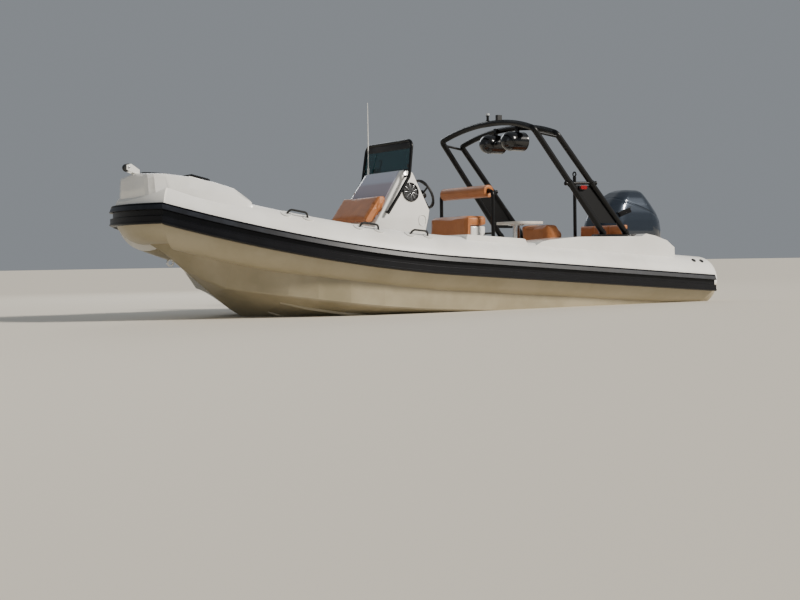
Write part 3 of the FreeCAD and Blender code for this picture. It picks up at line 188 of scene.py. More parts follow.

# %% [markdown]
# The collar is a woven cloth coated with synthetic rubber. New, it is an off-white with a dull
# sheen. Its underside, below the strake, is drawn in a warm sand like the hull's: this is painted
# shade and a painted reflection of the sand, not the cloth's colour. Air pressure leaves only long
# shallow ripples in it, and spray dries to faint marks almost half a metre wide, so the colour
# varies slowly. Its weave is about 1 mm; it is drawn at 4 mm so that it shows.

# %% Coated collar cloth
cloth, tree, shader, place = new_finish("rubber_coated_cloth", Roughness=0.42, IOR=1.5,
                                        Specular_IOR_Level=0.45)
marks = add_node(tree, "TexNoise", Vector=place, Scale=every(435), Detail=5.0, Roughness=0.6)
faint = add_node(tree, "MapRange", Value=marks.outputs["Fac"])
faint.inputs["From Min"].default_value = 0.30
faint.inputs["From Max"].default_value = 0.62
faint.inputs["To Max"].default_value = 0.30
# Faces that turn downwards are drawn darker and warmer: painted shade and a painted reflection of the
# sand.
facing = add_node(tree, "SeparateXYZ", Vector=add_node(tree, "NewGeometry").outputs["Normal"])
painted_shade_by_facing = add_node(tree, "MapRange", Value=facing.outputs["Z"])
painted_shade_by_facing.inputs["From Min"].default_value = -0.22
painted_shade_by_facing.inputs["From Max"].default_value = 0.02
painted_shade_by_facing.inputs["To Max"].default_value = 0.70
share = add_node(tree, "Math", operation="ADD")
tree.links.new(faint.outputs["Result"], share.inputs[0])
tree.links.new(painted_shade_by_facing.outputs["Result"], share.inputs[1])
tone = add_node(tree, "ValToRGB", Fac=share.outputs["Value"])
# The two low stops are the underside's painted shade; the two high stops are the cloth's own off-white.
tone.color_ramp.elements[0].color = linear("#A0957A")
tone.color_ramp.elements[1].color = linear("#F0EEE9")
below = tone.color_ramp.elements.new(0.30)
below.color = linear("#ADA289")
above = tone.color_ramp.elements.new(0.70)
above.color = linear("#E3E0D9")
tree.links.new(tone.outputs["Color"], shader.inputs["Base Color"])
weave = add_node(tree, "TexVoronoi", Vector=place, Scale=every(4))
ripples = add_node(tree, "TexNoise", Vector=place, Scale=every(167), Detail=2.0)
fine = add_node(tree, "Bump", Height=weave.outputs["Distance"], Strength=0.05, Distance=0.0008)
broad = add_node(tree, "Bump", Height=ripples.outputs["Fac"], Strength=0.25, Distance=0.006,
                 Normal=fine.outputs["Normal"])
tree.links.new(broad.outputs["Normal"], shader.inputs["Normal"])
keep("collar_fabric", cloth)

# %% [markdown]
# The strake is moulded rubber, almost black with a little blue in it, and dull where it has rubbed
# along a quay. The strip in its groove is the same rubber, drawn in a lighter grey that is a painted
# reflection of the sky. The mould's fine grain is under 1 mm, and is drawn at 2.4 mm.

# %% Moulded strake rubber
# The groove strip's lighter grey is a painted reflection of the sky; the scuffed tone on both is real
# wear.
for slot_name, name, dark, scuffs_and_painted_reflection in (("strake_rubber", "moulded_black_rubber", "#020207", "#07080F"),
                                    ("strake_band", "moulded_rubber_painted_reflection", "#14161C", "#23262E")):
    rubber, tree, shader, place = new_finish(name, Roughness=0.38, IOR=1.45, Specular_IOR_Level=0.35)
    scuffs = add_node(tree, "TexNoise", Vector=place, Scale=every(111), Detail=6.0, Roughness=0.65)
    tone = add_node(tree, "ValToRGB", Fac=scuffs.outputs["Fac"])
    tone.color_ramp.elements[0].position = 0.42
    tone.color_ramp.elements[0].color = linear(dark)
    tone.color_ramp.elements[1].position = 0.70
    tone.color_ramp.elements[1].color = linear(scuffs_and_painted_reflection)
    tree.links.new(tone.outputs["Color"], shader.inputs["Base Color"])
    grain = add_node(tree, "TexNoise", Vector=place, Scale=every(2.4), Detail=2.0)
    skin = add_node(tree, "Bump", Height=grain.outputs["Fac"], Strength=0.15, Distance=0.001)
    tree.links.new(skin.outputs["Normal"], shader.inputs["Normal"])
    keep(slot_name, rubber)

# %% [markdown]
# Gelcoat is polyester resin sprayed into a polished mould: glossy, with a faint orange peel that
# bends long reflections, about 36 mm from crest to crest. The topsides, the deck and the hull are
# white. The hull below is drawn in a darker warm sand tone, which is painted shade and a painted
# reflection of the sand.

# %% Polished gelcoat
# The hull's warm sand tones are painted shade and a painted reflection of the sand on white gelcoat.
for slot_name, name, low, high in (("white_gelcoat", "white_gelcoat", "#E6E3DD", "#F1EFEA"),
                                   ("hull_gelcoat", "hull_gelcoat_painted_shade", "#8C8267", "#A59A80")):
    resin, tree, shader, place = new_finish(name, Roughness=0.16, IOR=1.53, Coat_Weight=0.4,
                                            Coat_Roughness=0.05)
    haze = add_node(tree, "TexNoise", Vector=place, Scale=every(590), Detail=4.0, Roughness=0.55)
    tone = add_node(tree, "ValToRGB", Fac=haze.outputs["Fac"])
    tone.color_ramp.elements[0].position = 0.35
    tone.color_ramp.elements[0].color = linear(low)
    tone.color_ramp.elements[1].position = 0.65
    tone.color_ramp.elements[1].color = linear(high)
    tree.links.new(tone.outputs["Color"], shader.inputs["Base Color"])
    peel = add_node(tree, "TexNoise", Vector=place, Scale=every(36), Detail=2.0)
    skin = add_node(tree, "Bump", Height=peel.outputs["Fac"], Strength=0.06, Distance=0.002)
    tree.links.new(skin.outputs["Normal"], shader.inputs["Normal"])
    keep(slot_name, resin)

# %% [markdown]
# The arch, the screen's frame, the seat frame and the tow pole are aluminium with a black powder coat.
# Powder flows into a slight pebble as it melts, and stays satin. The pebble is near 1 mm, and is
# drawn at 3.8 mm so that the light still finds it.

# %% Powder-coated aluminium
powder, tree, shader, place = new_finish("black_powder_coat", Base_Color=linear("#030304"),
                                         Roughness=0.38, IOR=1.45, Specular_IOR_Level=0.35)
pebble = add_node(tree, "TexNoise", Vector=place, Scale=every(3.8), Detail=2.0)
skin = add_node(tree, "Bump", Height=pebble.outputs["Fac"], Strength=0.12, Distance=0.001)
tree.links.new(skin.outputs["Normal"], shader.inputs["Normal"])
keep("black_metal", powder)

# %% [markdown]
# The cushions are tan marine leather-cloth: vinyl with a pressed grain about 2 mm wide, darker in
# its creases, with a soft sheen.

# %% Tan leather-cloth
hide, tree, shader, place = new_finish("tan_leather_cloth", Roughness=0.48, IOR=1.48, Sheen_Weight=0.15)
shade = add_node(tree, "TexNoise", Vector=place, Scale=every(143), Detail=5.0, Roughness=0.6)
tone = add_node(tree, "ValToRGB", Fac=shade.outputs["Fac"])
tone.color_ramp.elements[0].position = 0.30
tone.color_ramp.elements[0].color = linear("#A4602C")
tone.color_ramp.elements[1].position = 0.70
tone.color_ramp.elements[1].color = linear("#B8713A")
tree.links.new(tone.outputs["Color"], shader.inputs["Base Color"])
grain = add_node(tree, "TexVoronoi", Vector=place, Scale=every(2.4), feature="SMOOTH_F1")
folds = add_node(tree, "TexNoise", Vector=place, Scale=every(71), Detail=3.0)
fine = add_node(tree, "Bump", Height=grain.outputs["Distance"], Strength=0.25, Distance=0.0012)
soft = add_node(tree, "Bump", Height=folds.outputs["Fac"], Strength=0.2, Distance=0.006,
                Normal=fine.outputs["Normal"])
tree.links.new(soft.outputs["Normal"], shader.inputs["Normal"])
keep("tan_leather", hide)

# %% [markdown]
# The engine's cowl and gearcase wear a dark blue-grey metallic paint under clear lacquer. Its flakes
# are too small to see, so clusters of them, 2.6 mm wide, only break up the colour a little.

# %% Cowl lacquer
lacquer, tree, shader, place = new_finish("blue_grey_metallic_lacquer", Metallic=0.55, Roughness=0.30,
                                          Coat_Weight=0.9, Coat_Roughness=0.06)
flakes = add_node(tree, "TexNoise", Vector=place, Scale=every(2.6), Detail=3.0)
tone = add_node(tree, "ValToRGB", Fac=flakes.outputs["Fac"])
tone.color_ramp.elements[0].position = 0.35
tone.color_ramp.elements[0].color = linear("#151D28")
tone.color_ramp.elements[1].position = 0.68
tone.color_ramp.elements[1].color = linear("#2B3746")
tree.links.new(tone.outputs["Color"], shader.inputs["Base Color"])
keep("engine_paint", lacquer)

# %% [markdown]
# The engine's brackets and midsection are cast aluminium under a satin black paint. The casting's
# skin shows through it as a soft unevenness every few millimetres.

# %% Casting paint
casting, tree, shader, place = new_finish("satin_black_casting_paint", Base_Color=linear("#14171C"),
                                          Metallic=0.2, Roughness=0.42)
pits = add_node(tree, "TexNoise", Vector=place, Scale=every(5.5), Detail=3.0)
skin = add_node(tree, "Bump", Height=pits.outputs["Fac"], Strength=0.2, Distance=0.001)
tree.links.new(skin.outputs["Normal"], shader.inputs["Normal"])
keep("engine_black", casting)

# %% [markdown]
# The wheel, the throttle, the valves and most small trim are moulded in black plastic with a matt
# grain of about 2 mm. The grain is a bump, because the plastic's colour is even.

# %% Black plastic
plastic, tree, shader, place = new_finish("moulded_black_plastic", Base_Color=linear("#101012"),
                                          Roughness=0.5, IOR=1.53)
grain = add_node(tree, "TexNoise", Vector=place, Scale=every(2), Detail=2.0)
skin = add_node(tree, "Bump", Height=grain.outputs["Fac"], Strength=0.2, Distance=0.0008)
tree.links.new(skin.outputs["Normal"], shader.inputs["Normal"])
keep("black_plastic", plastic)

# %% [markdown]
# The grab handles are woven polyester webbing. Its cross threads stand out as ribs about 5 mm
# apart, and loose fibres give it a slight sheen at its edges.

# %% Webbing
webbing, tree, shader, place = new_finish("woven_black_webbing", Base_Color=linear("#0D0D0E"),
                                          Roughness=0.8, IOR=1.5, Sheen_Weight=0.3)
ribs = add_node(tree, "TexWave", Vector=place, Scale=waves_every(5.2), Distortion=1.5)
skin = add_node(tree, "Bump", Height=ribs.outputs["Fac"], Strength=0.5, Distance=0.002)
tree.links.new(skin.outputs["Normal"], shader.inputs["Normal"])
keep("black_webbing", webbing)

# %% [markdown]
# A speaker's front is pressed steel mesh under black paint. Its holes are 3 mm apart, and are drawn
# at 6 mm, as pits, so that they show.

# %% Speaker mesh
mesh_steel, tree, shader, place = new_finish("pressed_speaker_mesh", Base_Color=linear("#131315"),
                                             Metallic=0.3, Roughness=0.45)
holes = add_node(tree, "TexVoronoi", Vector=place, Scale=every(6.25))
dots = add_node(tree, "Bump", Height=holes.outputs["Distance"], Strength=0.8, Distance=0.003)
tree.links.new(dots.outputs["Normal"], shader.inputs["Normal"])
keep("speaker_grille", mesh_steel)

# %% [markdown]
# The towing eye, the table's leg and the propeller are marine stainless steel, polished on a wheel.
# Salt and hands leave it smoother in some places than in others, so its roughness varies and its
# colour doesn't.

# %% Stainless steel
stainless, tree, shader, place = new_finish("polished_stainless_steel", Base_Color=linear("#C9CACB"),
                                            Metallic=1.0)
swirl = add_node(tree, "TexNoise", Vector=place, Scale=every(8.3), Detail=4.0)
rough = add_node(tree, "MapRange", Value=swirl.outputs["Fac"])
rough.inputs["To Min"].default_value = 0.16
rough.inputs["To Max"].default_value = 0.30
tree.links.new(rough.outputs["Result"], shader.inputs["Roughness"])
keep("steel", stainless)

# %% [markdown]
# The roller's cheeks, the whip antenna, the hatch frame and the handle patches are a white plastic,
# moulded in a finely blasted tool, so it has a soft shine.

# %% White plastic
white_abs, tree, shader, place = new_finish("white_moulded_plastic", Base_Color=linear("#E4E3DE"),
                                            Roughness=0.38, IOR=1.53)
grain = add_node(tree, "TexNoise", Vector=place, Scale=every(3.3))
skin = add_node(tree, "Bump", Height=grain.outputs["Fac"], Strength=0.08, Distance=0.001)
tree.links.new(skin.outputs["Normal"], shader.inputs["Normal"])
keep("white_plastic", white_abs)

# %% [markdown]
# The table top is faced with a pale laminate, a printed paper under clear resin. Its print is a
# cloudy beige, in patches about 45 mm wide.

# %% Table laminate
laminate, tree, shader, place = new_finish("pale_table_laminate", Roughness=0.3, IOR=1.5,
                                           Coat_Weight=0.3)
streaks = add_node(tree, "TexNoise", Vector=place, Scale=every(45), Detail=3.0)
tone = add_node(tree, "ValToRGB", Fac=streaks.outputs["Fac"])
tone.color_ramp.elements[0].color = linear("#CFC9BE")
tone.color_ramp.elements[1].color = linear("#E4E0D8")
tree.links.new(tone.outputs["Color"], shader.inputs["Base Color"])
keep("table_laminate", laminate)

# %% [markdown]
# The windscreen is cast acrylic sheet, tinted blue-green all through. It transmits most of the
# light, and dried drops a few centimetres apart blur it here and there.

# %% Tinted glass
glass, tree, shader, place = new_finish("tinted_acrylic_glass", Base_Color=linear("#2E5257"),
                                        Roughness=0.04, IOR=1.49, Transmission_Weight=0.85)
drops = add_node(tree, "TexNoise", Vector=place, Scale=every(33))
rough = add_node(tree, "MapRange", Value=drops.outputs["Fac"])
rough.inputs["To Min"].default_value = 0.02
rough.inputs["To Max"].default_value = 0.07
tree.links.new(rough.outputs["Result"], shader.inputs["Roughness"])
keep("smoked_glass", glass)

# %% [markdown]
# The console's front slope is a sheet of smoked acrylic. Its pale colour is a painted reflection of
# the sky: it is drawn paler and bluer towards its top and darkens slowly downwards, with one quicker
# step below its top, so its colour follows the height.

# %% Smoked panel
PANEL_FOOT_Z = 0.95
PANEL_TOP_Z = 1.44

smoked, tree, shader, place = new_finish("smoked_acrylic_painted_reflection", Roughness=0.10, IOR=1.49,
                                         Coat_Weight=0.4)
# The colour by height is a painted reflection of the sky on the smoked sheet.
height = add_node(tree, "SeparateXYZ", Vector=place)
painted_reflection_by_height = add_node(tree, "MapRange", Value=height.outputs["Z"])
painted_reflection_by_height.inputs["From Min"].default_value = PANEL_FOOT_Z
painted_reflection_by_height.inputs["From Max"].default_value = PANEL_TOP_Z
tone = add_node(tree, "ValToRGB", Fac=painted_reflection_by_height.outputs["Result"])
tone.color_ramp.elements[0].color = linear("#9C929D")
tone.color_ramp.elements[1].color = linear("#C6CADB")
below = tone.color_ramp.elements.new(0.74)
below.color = linear("#ABA3B0")
above = tone.color_ramp.elements.new(0.80)
above.color = linear("#BCC0D2")
tree.links.new(tone.outputs["Color"], shader.inputs["Base Color"])
keep("smoked_panel", smoked)

# %% [markdown]
# A navigation lamp shows red to port and green to starboard, and the stern light is clear. Their
# lenses are moulded acrylic with flutes inside, 8 mm apart, that spread the light.

# %% Lamp lenses
for slot_name, name, tint in (("red_lens", "red_lamp_lens", "#A80E0C"),
                              ("green_lens", "green_lamp_lens", "#0B6B35"),
                              ("white_lens", "clear_lamp_lens", "#E8ECEE")):
    lens, tree, shader, place = new_finish(name, Base_Color=linear(tint), Roughness=0.1, IOR=1.49,
                                           Transmission_Weight=0.35, Coat_Weight=0.4)
    flutes = add_node(tree, "TexWave", Vector=place, Scale=waves_every(7.85))
    skin = add_node(tree, "Bump", Height=flutes.outputs["Fac"], Strength=0.3, Distance=0.002)
    tree.links.new(skin.outputs["Normal"], shader.inputs["Normal"])
    keep(slot_name, lens)

# %% [markdown]
# Some pieces differ from the rest of their slot. The bullet speakers are lacquered in a glossy
# black, which shows only a trace of orange peel.

# %% Glossy lacquer
gloss, tree, shader, place = new_finish("glossy_black_lacquer", Base_Color=linear("#060608"),
                                        Roughness=0.22, IOR=1.5, Coat_Weight=0.3)
specks = add_node(tree, "TexNoise", Vector=place, Scale=every(11), Detail=3.0)
skin = add_node(tree, "Bump", Height=specks.outputs["Fac"], Strength=0.04, Distance=0.001)
tree.links.new(skin.outputs["Normal"], shader.inputs["Normal"])

# %% [markdown]
# Mats and louvres are a matt black rubber. It is moulded with small pimples, drawn 6 mm apart, and
# dust greys it unevenly.

# %% Tread rubber
treaded, tree, shader, place = new_finish("black_tread_rubber", Roughness=0.82, IOR=1.45,
                                          Specular_IOR_Level=0.2)
dust = add_node(tree, "TexNoise", Vector=place, Scale=every(71), Detail=5.0)
tone = add_node(tree, "ValToRGB", Fac=dust.outputs["Fac"])
tone.color_ramp.elements[0].color = linear("#08080A")
tone.color_ramp.elements[1].color = linear("#17181B")
tree.links.new(tone.outputs["Color"], shader.inputs["Base Color"])
pimples = add_node(tree, "TexVoronoi", Vector=place, Scale=every(6.25))
skin = add_node(tree, "Bump", Height=pimples.outputs["Distance"], Strength=0.6, Distance=0.002)
tree.links.new(skin.outputs["Normal"], shader.inputs["Normal"])

# %% [markdown]
# The cockpit floor has non-skid gelcoat: the mould is stippled, so the resin comes out as rows of
# small studs, and dirt settles between them as a light grey.

# %% Non-skid gelcoat
tread, tree, shader, place = new_finish("grey_non_skid_gelcoat", Roughness=0.6, IOR=1.5)
speckle = add_node(tree, "TexNoise", Vector=place, Scale=every(83), Detail=4.0)
tone = add_node(tree, "ValToRGB", Fac=speckle.outputs["Fac"])
tone.color_ramp.elements[0].color = linear("#B3B1AB")
tone.color_ramp.elements[1].color = linear("#C6C4BE")
tree.links.new(tone.outputs["Color"], shader.inputs["Base Color"])
studs = add_node(tree, "TexVoronoi", Vector=place, Scale=every(9))
skin = add_node(tree, "Bump", Height=studs.outputs["Distance"], Strength=0.7, Distance=0.003)
tree.links.new(skin.outputs["Normal"], shader.inputs["Normal"])

# %% [markdown]
# The dials and the chart display are off, so their glass is almost black. Fingers leave smears on
# it that are rougher than the glass.

# %% Display glass
display, tree, shader, place = new_finish("dark_display_glass", Base_Color=linear("#0D1418"),
                                          Roughness=0.05, IOR=1.5, Coat_Weight=0.6)
smears = add_node(tree, "TexNoise", Vector=place, Scale=every(50), Detail=3.0)
rough = add_node(tree, "MapRange", Value=smears.outputs["Fac"])
rough.inputs["To Min"].default_value = 0.03
rough.inputs["To Max"].default_value = 0.12
tree.links.new(rough.outputs["Result"], shader.inputs["Roughness"])

# %% [markdown]
# Each solid takes the finish of its slot in the record. The mesh stays as it is.

# %% Give every solid its finish
SLOT_OF = {part["node"]: part["material_slot"] for part in frame["record"]["subparts"]}
for node_name, solid in frame["nodes"].items():
    if not solid.data.materials:
        solid.data.materials.append(None)
    for index in range(len(solid.material_slots)):
        solid.material_slots[index].material = FINISHES[SLOT_OF[node_name]]
for node_name, better in (("tower_speakers", gloss), ("handle_patches", FINISHES["white_plastic"])):
    frame["nodes"][node_name].material_slots[0].material = better
print(len(FINISHES), "finishes on", len(SLOT_OF), "solids")

# %% [markdown]
# The rest is modelled on top of the solids. An operator acts on whatever is selected, and
# the imported solids come in selected, so each new piece begins with nothing selected. A finished
# piece has its place in its mesh and its object at the origin, as the solids have.

# %% Modelling helpers
def clear_selection():
    """Leave edit mode and select nothing."""
    if bpy.context.object and bpy.context.object.mode != "OBJECT":
        bpy.ops.object.mode_set(mode="OBJECT")
    bpy.ops.object.select_all(action="DESELECT")


def finish_piece(name, slot_name, body="boat", smooth=35.0, finish=None):
    """Name the active object, freeze its place, smooth it, and give it its finish and its body."""
    piece = bpy.context.active_object
    if piece.mode != "OBJECT":
        bpy.ops.object.mode_set(mode="OBJECT")
    bpy.ops.object.transform_apply(location=True, rotation=True, scale=True)
    piece.name = name
    piece.data.name = name
    bpy.ops.object.shade_smooth_by_angle(angle=math.radians(smooth))
    piece.data.materials.clear()
    piece.data.materials.append(finish or FINISHES[slot_name])
    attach(piece, body)
    return piece


print("ready to model")

# %% [markdown]
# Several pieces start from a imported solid. Its mesh is loose triangles, so a copy has its doubled
# points merged before it is shaped. Only the copy is shaped, because the solid stays as packed.

# %% Copy of a solid
def copy_solid(node_name):
    """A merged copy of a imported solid, alone and active, to shape further."""
    clear_selection()
    copy = bpy.data.objects.new("copy", frame["nodes"][node_name].data.copy())
    bpy.context.scene.collection.objects.link(copy)
    copy.select_set(True)
    bpy.context.view_layer.objects.active = copy
    bpy.ops.object.mode_set(mode="EDIT")
    bpy.ops.mesh.select_all(action="SELECT")
    bpy.ops.mesh.remove_doubles(threshold=1e-5)
    bpy.ops.mesh.normals_make_consistent(inside=False)
    bpy.ops.object.mode_set(mode="OBJECT")
    return bpy.context.active_object


print("copies come from", len(frame["nodes"]), "solids")

# %% [markdown]
# A cushion starts as a copy of its solid. It is shrunk a little and rounded, and remeshed into
# even squares of 9 mm. Then Blender's cloth blows it up from the inside for twenty frames, with no
# gravity. Each point may move 16 mm at most, so the pad keeps its place and its faces rise into a
# crown while its sides pull in between the corners.

# %% Blowing up a cushion
LAST_FRAME = 20


def blow_up(piece, most, pressure=4.0):
    """Inflate a closed mesh with cloth pressure, with each point's move capped."""
    rest = [v.co.copy() for v in piece.data.vertices]
    cloth_modifier = piece.modifiers.new("air", "CLOTH")
    settings = cloth_modifier.settings
    settings.quality = 5
    settings.mass = 0.3
    settings.tension_stiffness = 12.0
    settings.compression_stiffness = 12.0
    settings.shear_stiffness = 5.0
    settings.bending_stiffness = 0.6
    settings.use_pressure = True
    settings.uniform_pressure_force = pressure
    settings.effector_weights.gravity = 0.0
    cloth_modifier.point_cache.frame_end = LAST_FRAME
    for frame_number in range(1, LAST_FRAME + 1):
        bpy.context.scene.frame_set(frame_number)
    posed = piece.evaluated_get(bpy.context.evaluated_depsgraph_get())
    moved = [v.co.copy() for v in posed.data.vertices]
    piece.modifiers.remove(cloth_modifier)
    for vertex, start, end in zip(piece.data.vertices, rest, moved):
        step = end - start
        if step.length > most:
            step = step.normalized() * most
        vertex.co = start + step
    bpy.context.scene.frame_set(1)


print("cloth runs for", LAST_FRAME, "frames a cushion")

# %% [markdown]
# Each cushion has its own rounding, because thick foam is cut softer than thin foam, and its own
# cap on how far a point moves. A wide seat rises most, and a narrow or upright pad least.

# %% Padded cushions
def pad(name, node_name, rounding, most, voxel=0.009, shrink=0.008):
    """Turn a soft solid into a stuffed cushion that stands for it."""
    piece = copy_solid(node_name)
    bpy.ops.object.mode_set(mode="EDIT")
    bpy.ops.mesh.select_all(action="SELECT")
    bpy.ops.mesh.dissolve_limited(angle_limit=math.radians(4))
    bpy.ops.mesh.select_all(action="SELECT")
    bpy.ops.transform.shrink_fatten(value=-shrink, use_even_offset=True)
    bpy.ops.mesh.select_all(action="DESELECT")
    bpy.ops.mesh.edges_select_sharp(sharpness=math.radians(25))
    bpy.ops.mesh.bevel(offset=rounding, segments=4, affect="EDGES", clamp_overlap=True)
    bpy.ops.object.mode_set(mode="OBJECT")
    piece.data.remesh_voxel_size = voxel
    bpy.ops.object.voxel_remesh()
    relax = piece.modifiers.new("relax", "CORRECTIVE_SMOOTH")
    relax.use_only_smooth = True
    relax.iterations = 6
    bpy.ops.object.modifier_apply(modifier=relax.name)
    blow_up(piece, most)
    finish_piece(name, "tan_leather", smooth=60.0)
    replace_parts(piece, node_name)
    print(name, len(piece.data.vertices), "points")
    return piece


PADS = {}
for node_name, rounding, most in (("console_seat_cushion", 0.026, 0.016),
                                  ("console_seat_back", 0.020, 0.010),
                                  ("helm_seat_cushion", 0.022, 0.009), ("helm_bolster", 0.030, 0.010),
                                  ("lounge_side_cushion", 0.026, 0.014),
                                  ("lounge_aft_cushion", 0.026, 0.016),
                                  ("lounge_aft_back", 0.022, 0.010), ("lounge_end_rest", 0.024, 0.012)):
    PADS[node_name] = pad(node_name.replace("cushion", "pad") + "_soft", node_name, rounding, most)

# %% [markdown]
# A cord, a grip or a bezel is a round bar along a smooth path. A curve with a bevel depth makes one
# in a single step, and converting it gives a mesh. A closed path has no ends, an open one is capped.

# %% Swept bars
def swept(points, radius, closed=False, sides=3):
    """A round bar along a smooth curve through control points, as a mesh."""
    clear_selection()
    data = bpy.data.curves.new("path", "CURVE")
    data.dimensions = "3D"
    data.bevel_depth = radius
    data.bevel_resolution = sides
    data.use_fill_caps = not closed
    spline = data.splines.new("NURBS")
    spline.points.add(len(points) - 1)
    for point, spot in zip(spline.points, points):
        point.co = (*spot, 1.0)
    spline.order_u = 3
    spline.use_endpoint_u = not closed
    spline.use_cyclic_u = closed
    path = bpy.data.objects.new("path", data)
    bpy.context.scene.collection.objects.link(path)
    path.select_set(True)
    bpy.context.view_layer.objects.active = path
    bpy.ops.object.convert(target="MESH")
    return bpy.context.active_object


print("swept bars ready")

# %% [markdown]
# Piping is a thin cord sewn into the seams. Its path is laid along the nominal edge in short
# steps, and each step is pulled onto the blown-up cushion, so the cord follows the crown. A sewn
# channel is pressed in along the normals, because thread pulls the cover down into the foam.

# %% Sewing helpers
PIPING_RADIUS = 0.004
PIPING_STANDS_OFF = 0.0005


def laid_on(cushion, corners, spacing=0.02):
    """Points along a closed run of corners, each pulled onto the nearest place on a cushion."""
    spots = []
    for start, end in zip(corners, corners[1:] + corners[:1]):
        start, end = Vector(start), Vector(end)
        count = max(2, int((end - start).length / spacing))
        for index in range(count):
            found, place, normal, face = cushion.closest_point_on_mesh(start.lerp(end, index / count))
            spots.append(place + normal * PIPING_STANDS_OFF)
    return spots


def pipe_round(name, cushion, corners):
    """Sewn piping round a cushion."""
    swept(laid_on(cushion, corners), PIPING_RADIUS, closed=True, sides=2)
    return finish_piece(name, "tan_leather")


def sew_channel(cushion, point, normal, facing, width=0.014, depth=0.008):
    """Press a sewn channel into a cushion where a plane crosses the faces that look one way."""
    point, normal, facing = Vector(point), Vector(normal), Vector(facing)
    for vertex in cushion.data.vertices:
        away = abs((vertex.co - point).dot(normal))
        if away < width and vertex.normal.dot(facing) > 0.35:
            vertex.co -= vertex.normal * depth * (1 - (away / width) ** 2) ** 1.5


print("piping is", PIPING_RADIUS * 2000, "mm thick")

# %% [markdown]
# The seams run round the two ends of the console's back rest, of the helm seat with its dropped
# front lip, and of the round bolster, and round the top of each flat cushion. Their corners lie a
# little inside the box of the solid.

# %% Piping
SIDES = ((1, "port"), (-1, "starboard"))
SEAM_INSET = 0.012
BACK_REST_SIDE = ((0.690, 1.165), (0.702, 1.181), (0.750, 1.177), (0.936, 0.935), (0.921, 0.916),
                  (0.862, 0.916))
BOLSTER_SEAM_RADIUS = 0.064
SEAT_INSET = 0.010
SEAT_SIDE_DEPTH = 0.10
SEAT_LIP_DEPTH = 0.048

low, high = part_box("console_seat_back")
for side, word in SIDES:
    y = side * (high[1] - SEAM_INSET)
    pipe_round("console_back_piping_" + word, PADS["console_seat_back"],
               [(x, y, z) for x, z in BACK_REST_SIDE])

low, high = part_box("helm_seat_cushion")
aft, fore, lip = low[0] + SEAT_INSET, high[0] - SEAT_INSET, high[0] - SEAT_LIP_DEPTH
top, under, foot = high[2] - SEAT_INSET, high[2] - SEAT_SIDE_DEPTH, low[2] + SEAT_INSET
for side, word in SIDES:
    y = side * (high[1] - SEAT_INSET)
    seam = [(aft, y, under), (aft, y, top), (fore, y, top),
            (fore, y, foot), (lip, y, foot), (lip, y, under)]
    pipe_round("helm_seat_piping_" + word, PADS["helm_seat_cushion"], seam)

low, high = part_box("helm_bolster")
middle_x, middle_z = (low[0] + high[0]) / 2, (low[2] + high[2]) / 2
for side, word in SIDES:
    seam = []
    for step in range(16):
        angle = math.tau * step / 16
        seam.append((middle_x + BOLSTER_SEAM_RADIUS * math.cos(angle), side * (high[1] - SEAM_INSET),
                     middle_z + BOLSTER_SEAM_RADIUS * math.sin(angle)))
    pipe_round("bolster_piping_" + word, PADS["helm_bolster"], seam)

for node_name in ("lounge_side_cushion", "lounge_aft_cushion", "console_seat_cushion"):
    low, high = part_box(node_name)
    aft, fore, top = low[0] + SEAM_INSET, high[0] - SEAM_INSET, high[2] - SEAM_INSET
    right, left = low[1] + SEAM_INSET, high[1] - SEAM_INSET
    pipe_round(node_name + "_piping", PADS[node_name],
               [(aft, right, top), (fore, right, top), (fore, left, top), (aft, left, top)])
print("piping sewn on")

# %% [markdown]
# The aft bench seats three, so a channel at each third parts its cushion and its back.

# %% Sewn channels
for node_name, facing in (("lounge_aft_cushion", (0, 0, 1)), ("lounge_aft_back", (1, 0, 0))):
    low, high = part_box(node_name)
    for share in (0.33, 0.67):
        seam_at = (0, low[1] + (high[1] - low[1]) * share, 0)
        sew_channel(PADS[node_name], seam_at, (0, 1, 0), facing)
print("channels sewn")

# %% [markdown]
# A moulding leaves its tool with every edge rounded, because resin doesn't fill a sharp corner and
# hands don't like one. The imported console, seat box, benches, table top and bow moulding have hard
# edges. A copy of each gets its flat faces dissolved to single faces, its sharp edges bevelled, and
# stands for the solid.

# %% Rounded mouldings
def soften(node_name, radius, least):
    """A copy of a rigid solid with rounded edges, that stands for it."""
    piece = copy_solid(node_name)
    bpy.ops.object.mode_set(mode="EDIT")
    bpy.ops.mesh.select_all(action="SELECT")
    bpy.ops.mesh.dissolve_limited(angle_limit=math.radians(1.5))
    bpy.ops.mesh.select_all(action="DESELECT")
    bpy.ops.mesh.edges_select_sharp(sharpness=math.radians(least))
    bpy.ops.mesh.bevel(offset=radius, segments=3, affect="EDGES", clamp_overlap=True)
    bpy.ops.object.mode_set(mode="OBJECT")
    finish_piece(node_name + "_moulding", SLOT_OF[node_name], smooth=40.0)
    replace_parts(piece, node_name)
    print(node_name, "rounded by", radius * 1000, "mm")
    return piece


for node_name, radius, least in (("console", 0.012, 30.0), ("helm_seat_base", 0.015, 30.0),
                                 ("lounge_base", 0.010, 30.0), ("table_top", 0.006, 30.0),
                                 ("bow_nose", 0.030, 12.0)):
    soften(node_name, radius, least)

# %% [markdown]
# Hard fittings start from two primitives. A block is a cube scaled between two corners, with every
# edge bevelled, because no moulded or machined edge is sharp. A turned piece is a disc, extruded and
# scaled step by step, as a lathe follows a profile.

# %% Blocks and turned pieces
def block(low, high, rounding, segments=3):
    """A box between two corners with all its edges rounded."""
    clear_selection()
    low, high = Vector(low), Vector(high)
    bpy.ops.mesh.primitive_cube_add(size=1.0, location=(low + high) / 2)
    bpy.context.active_object.scale = high - low
    bpy.ops.object.transform_apply(location=False, rotation=False, scale=True)
    bpy.ops.object.mode_set(mode="EDIT")
    bpy.ops.mesh.select_all(action="SELECT")
    bpy.ops.mesh.bevel(offset=rounding, segments=segments, affect="EDGES")
    bpy.ops.object.mode_set(mode="OBJECT")
    return bpy.context.active_object


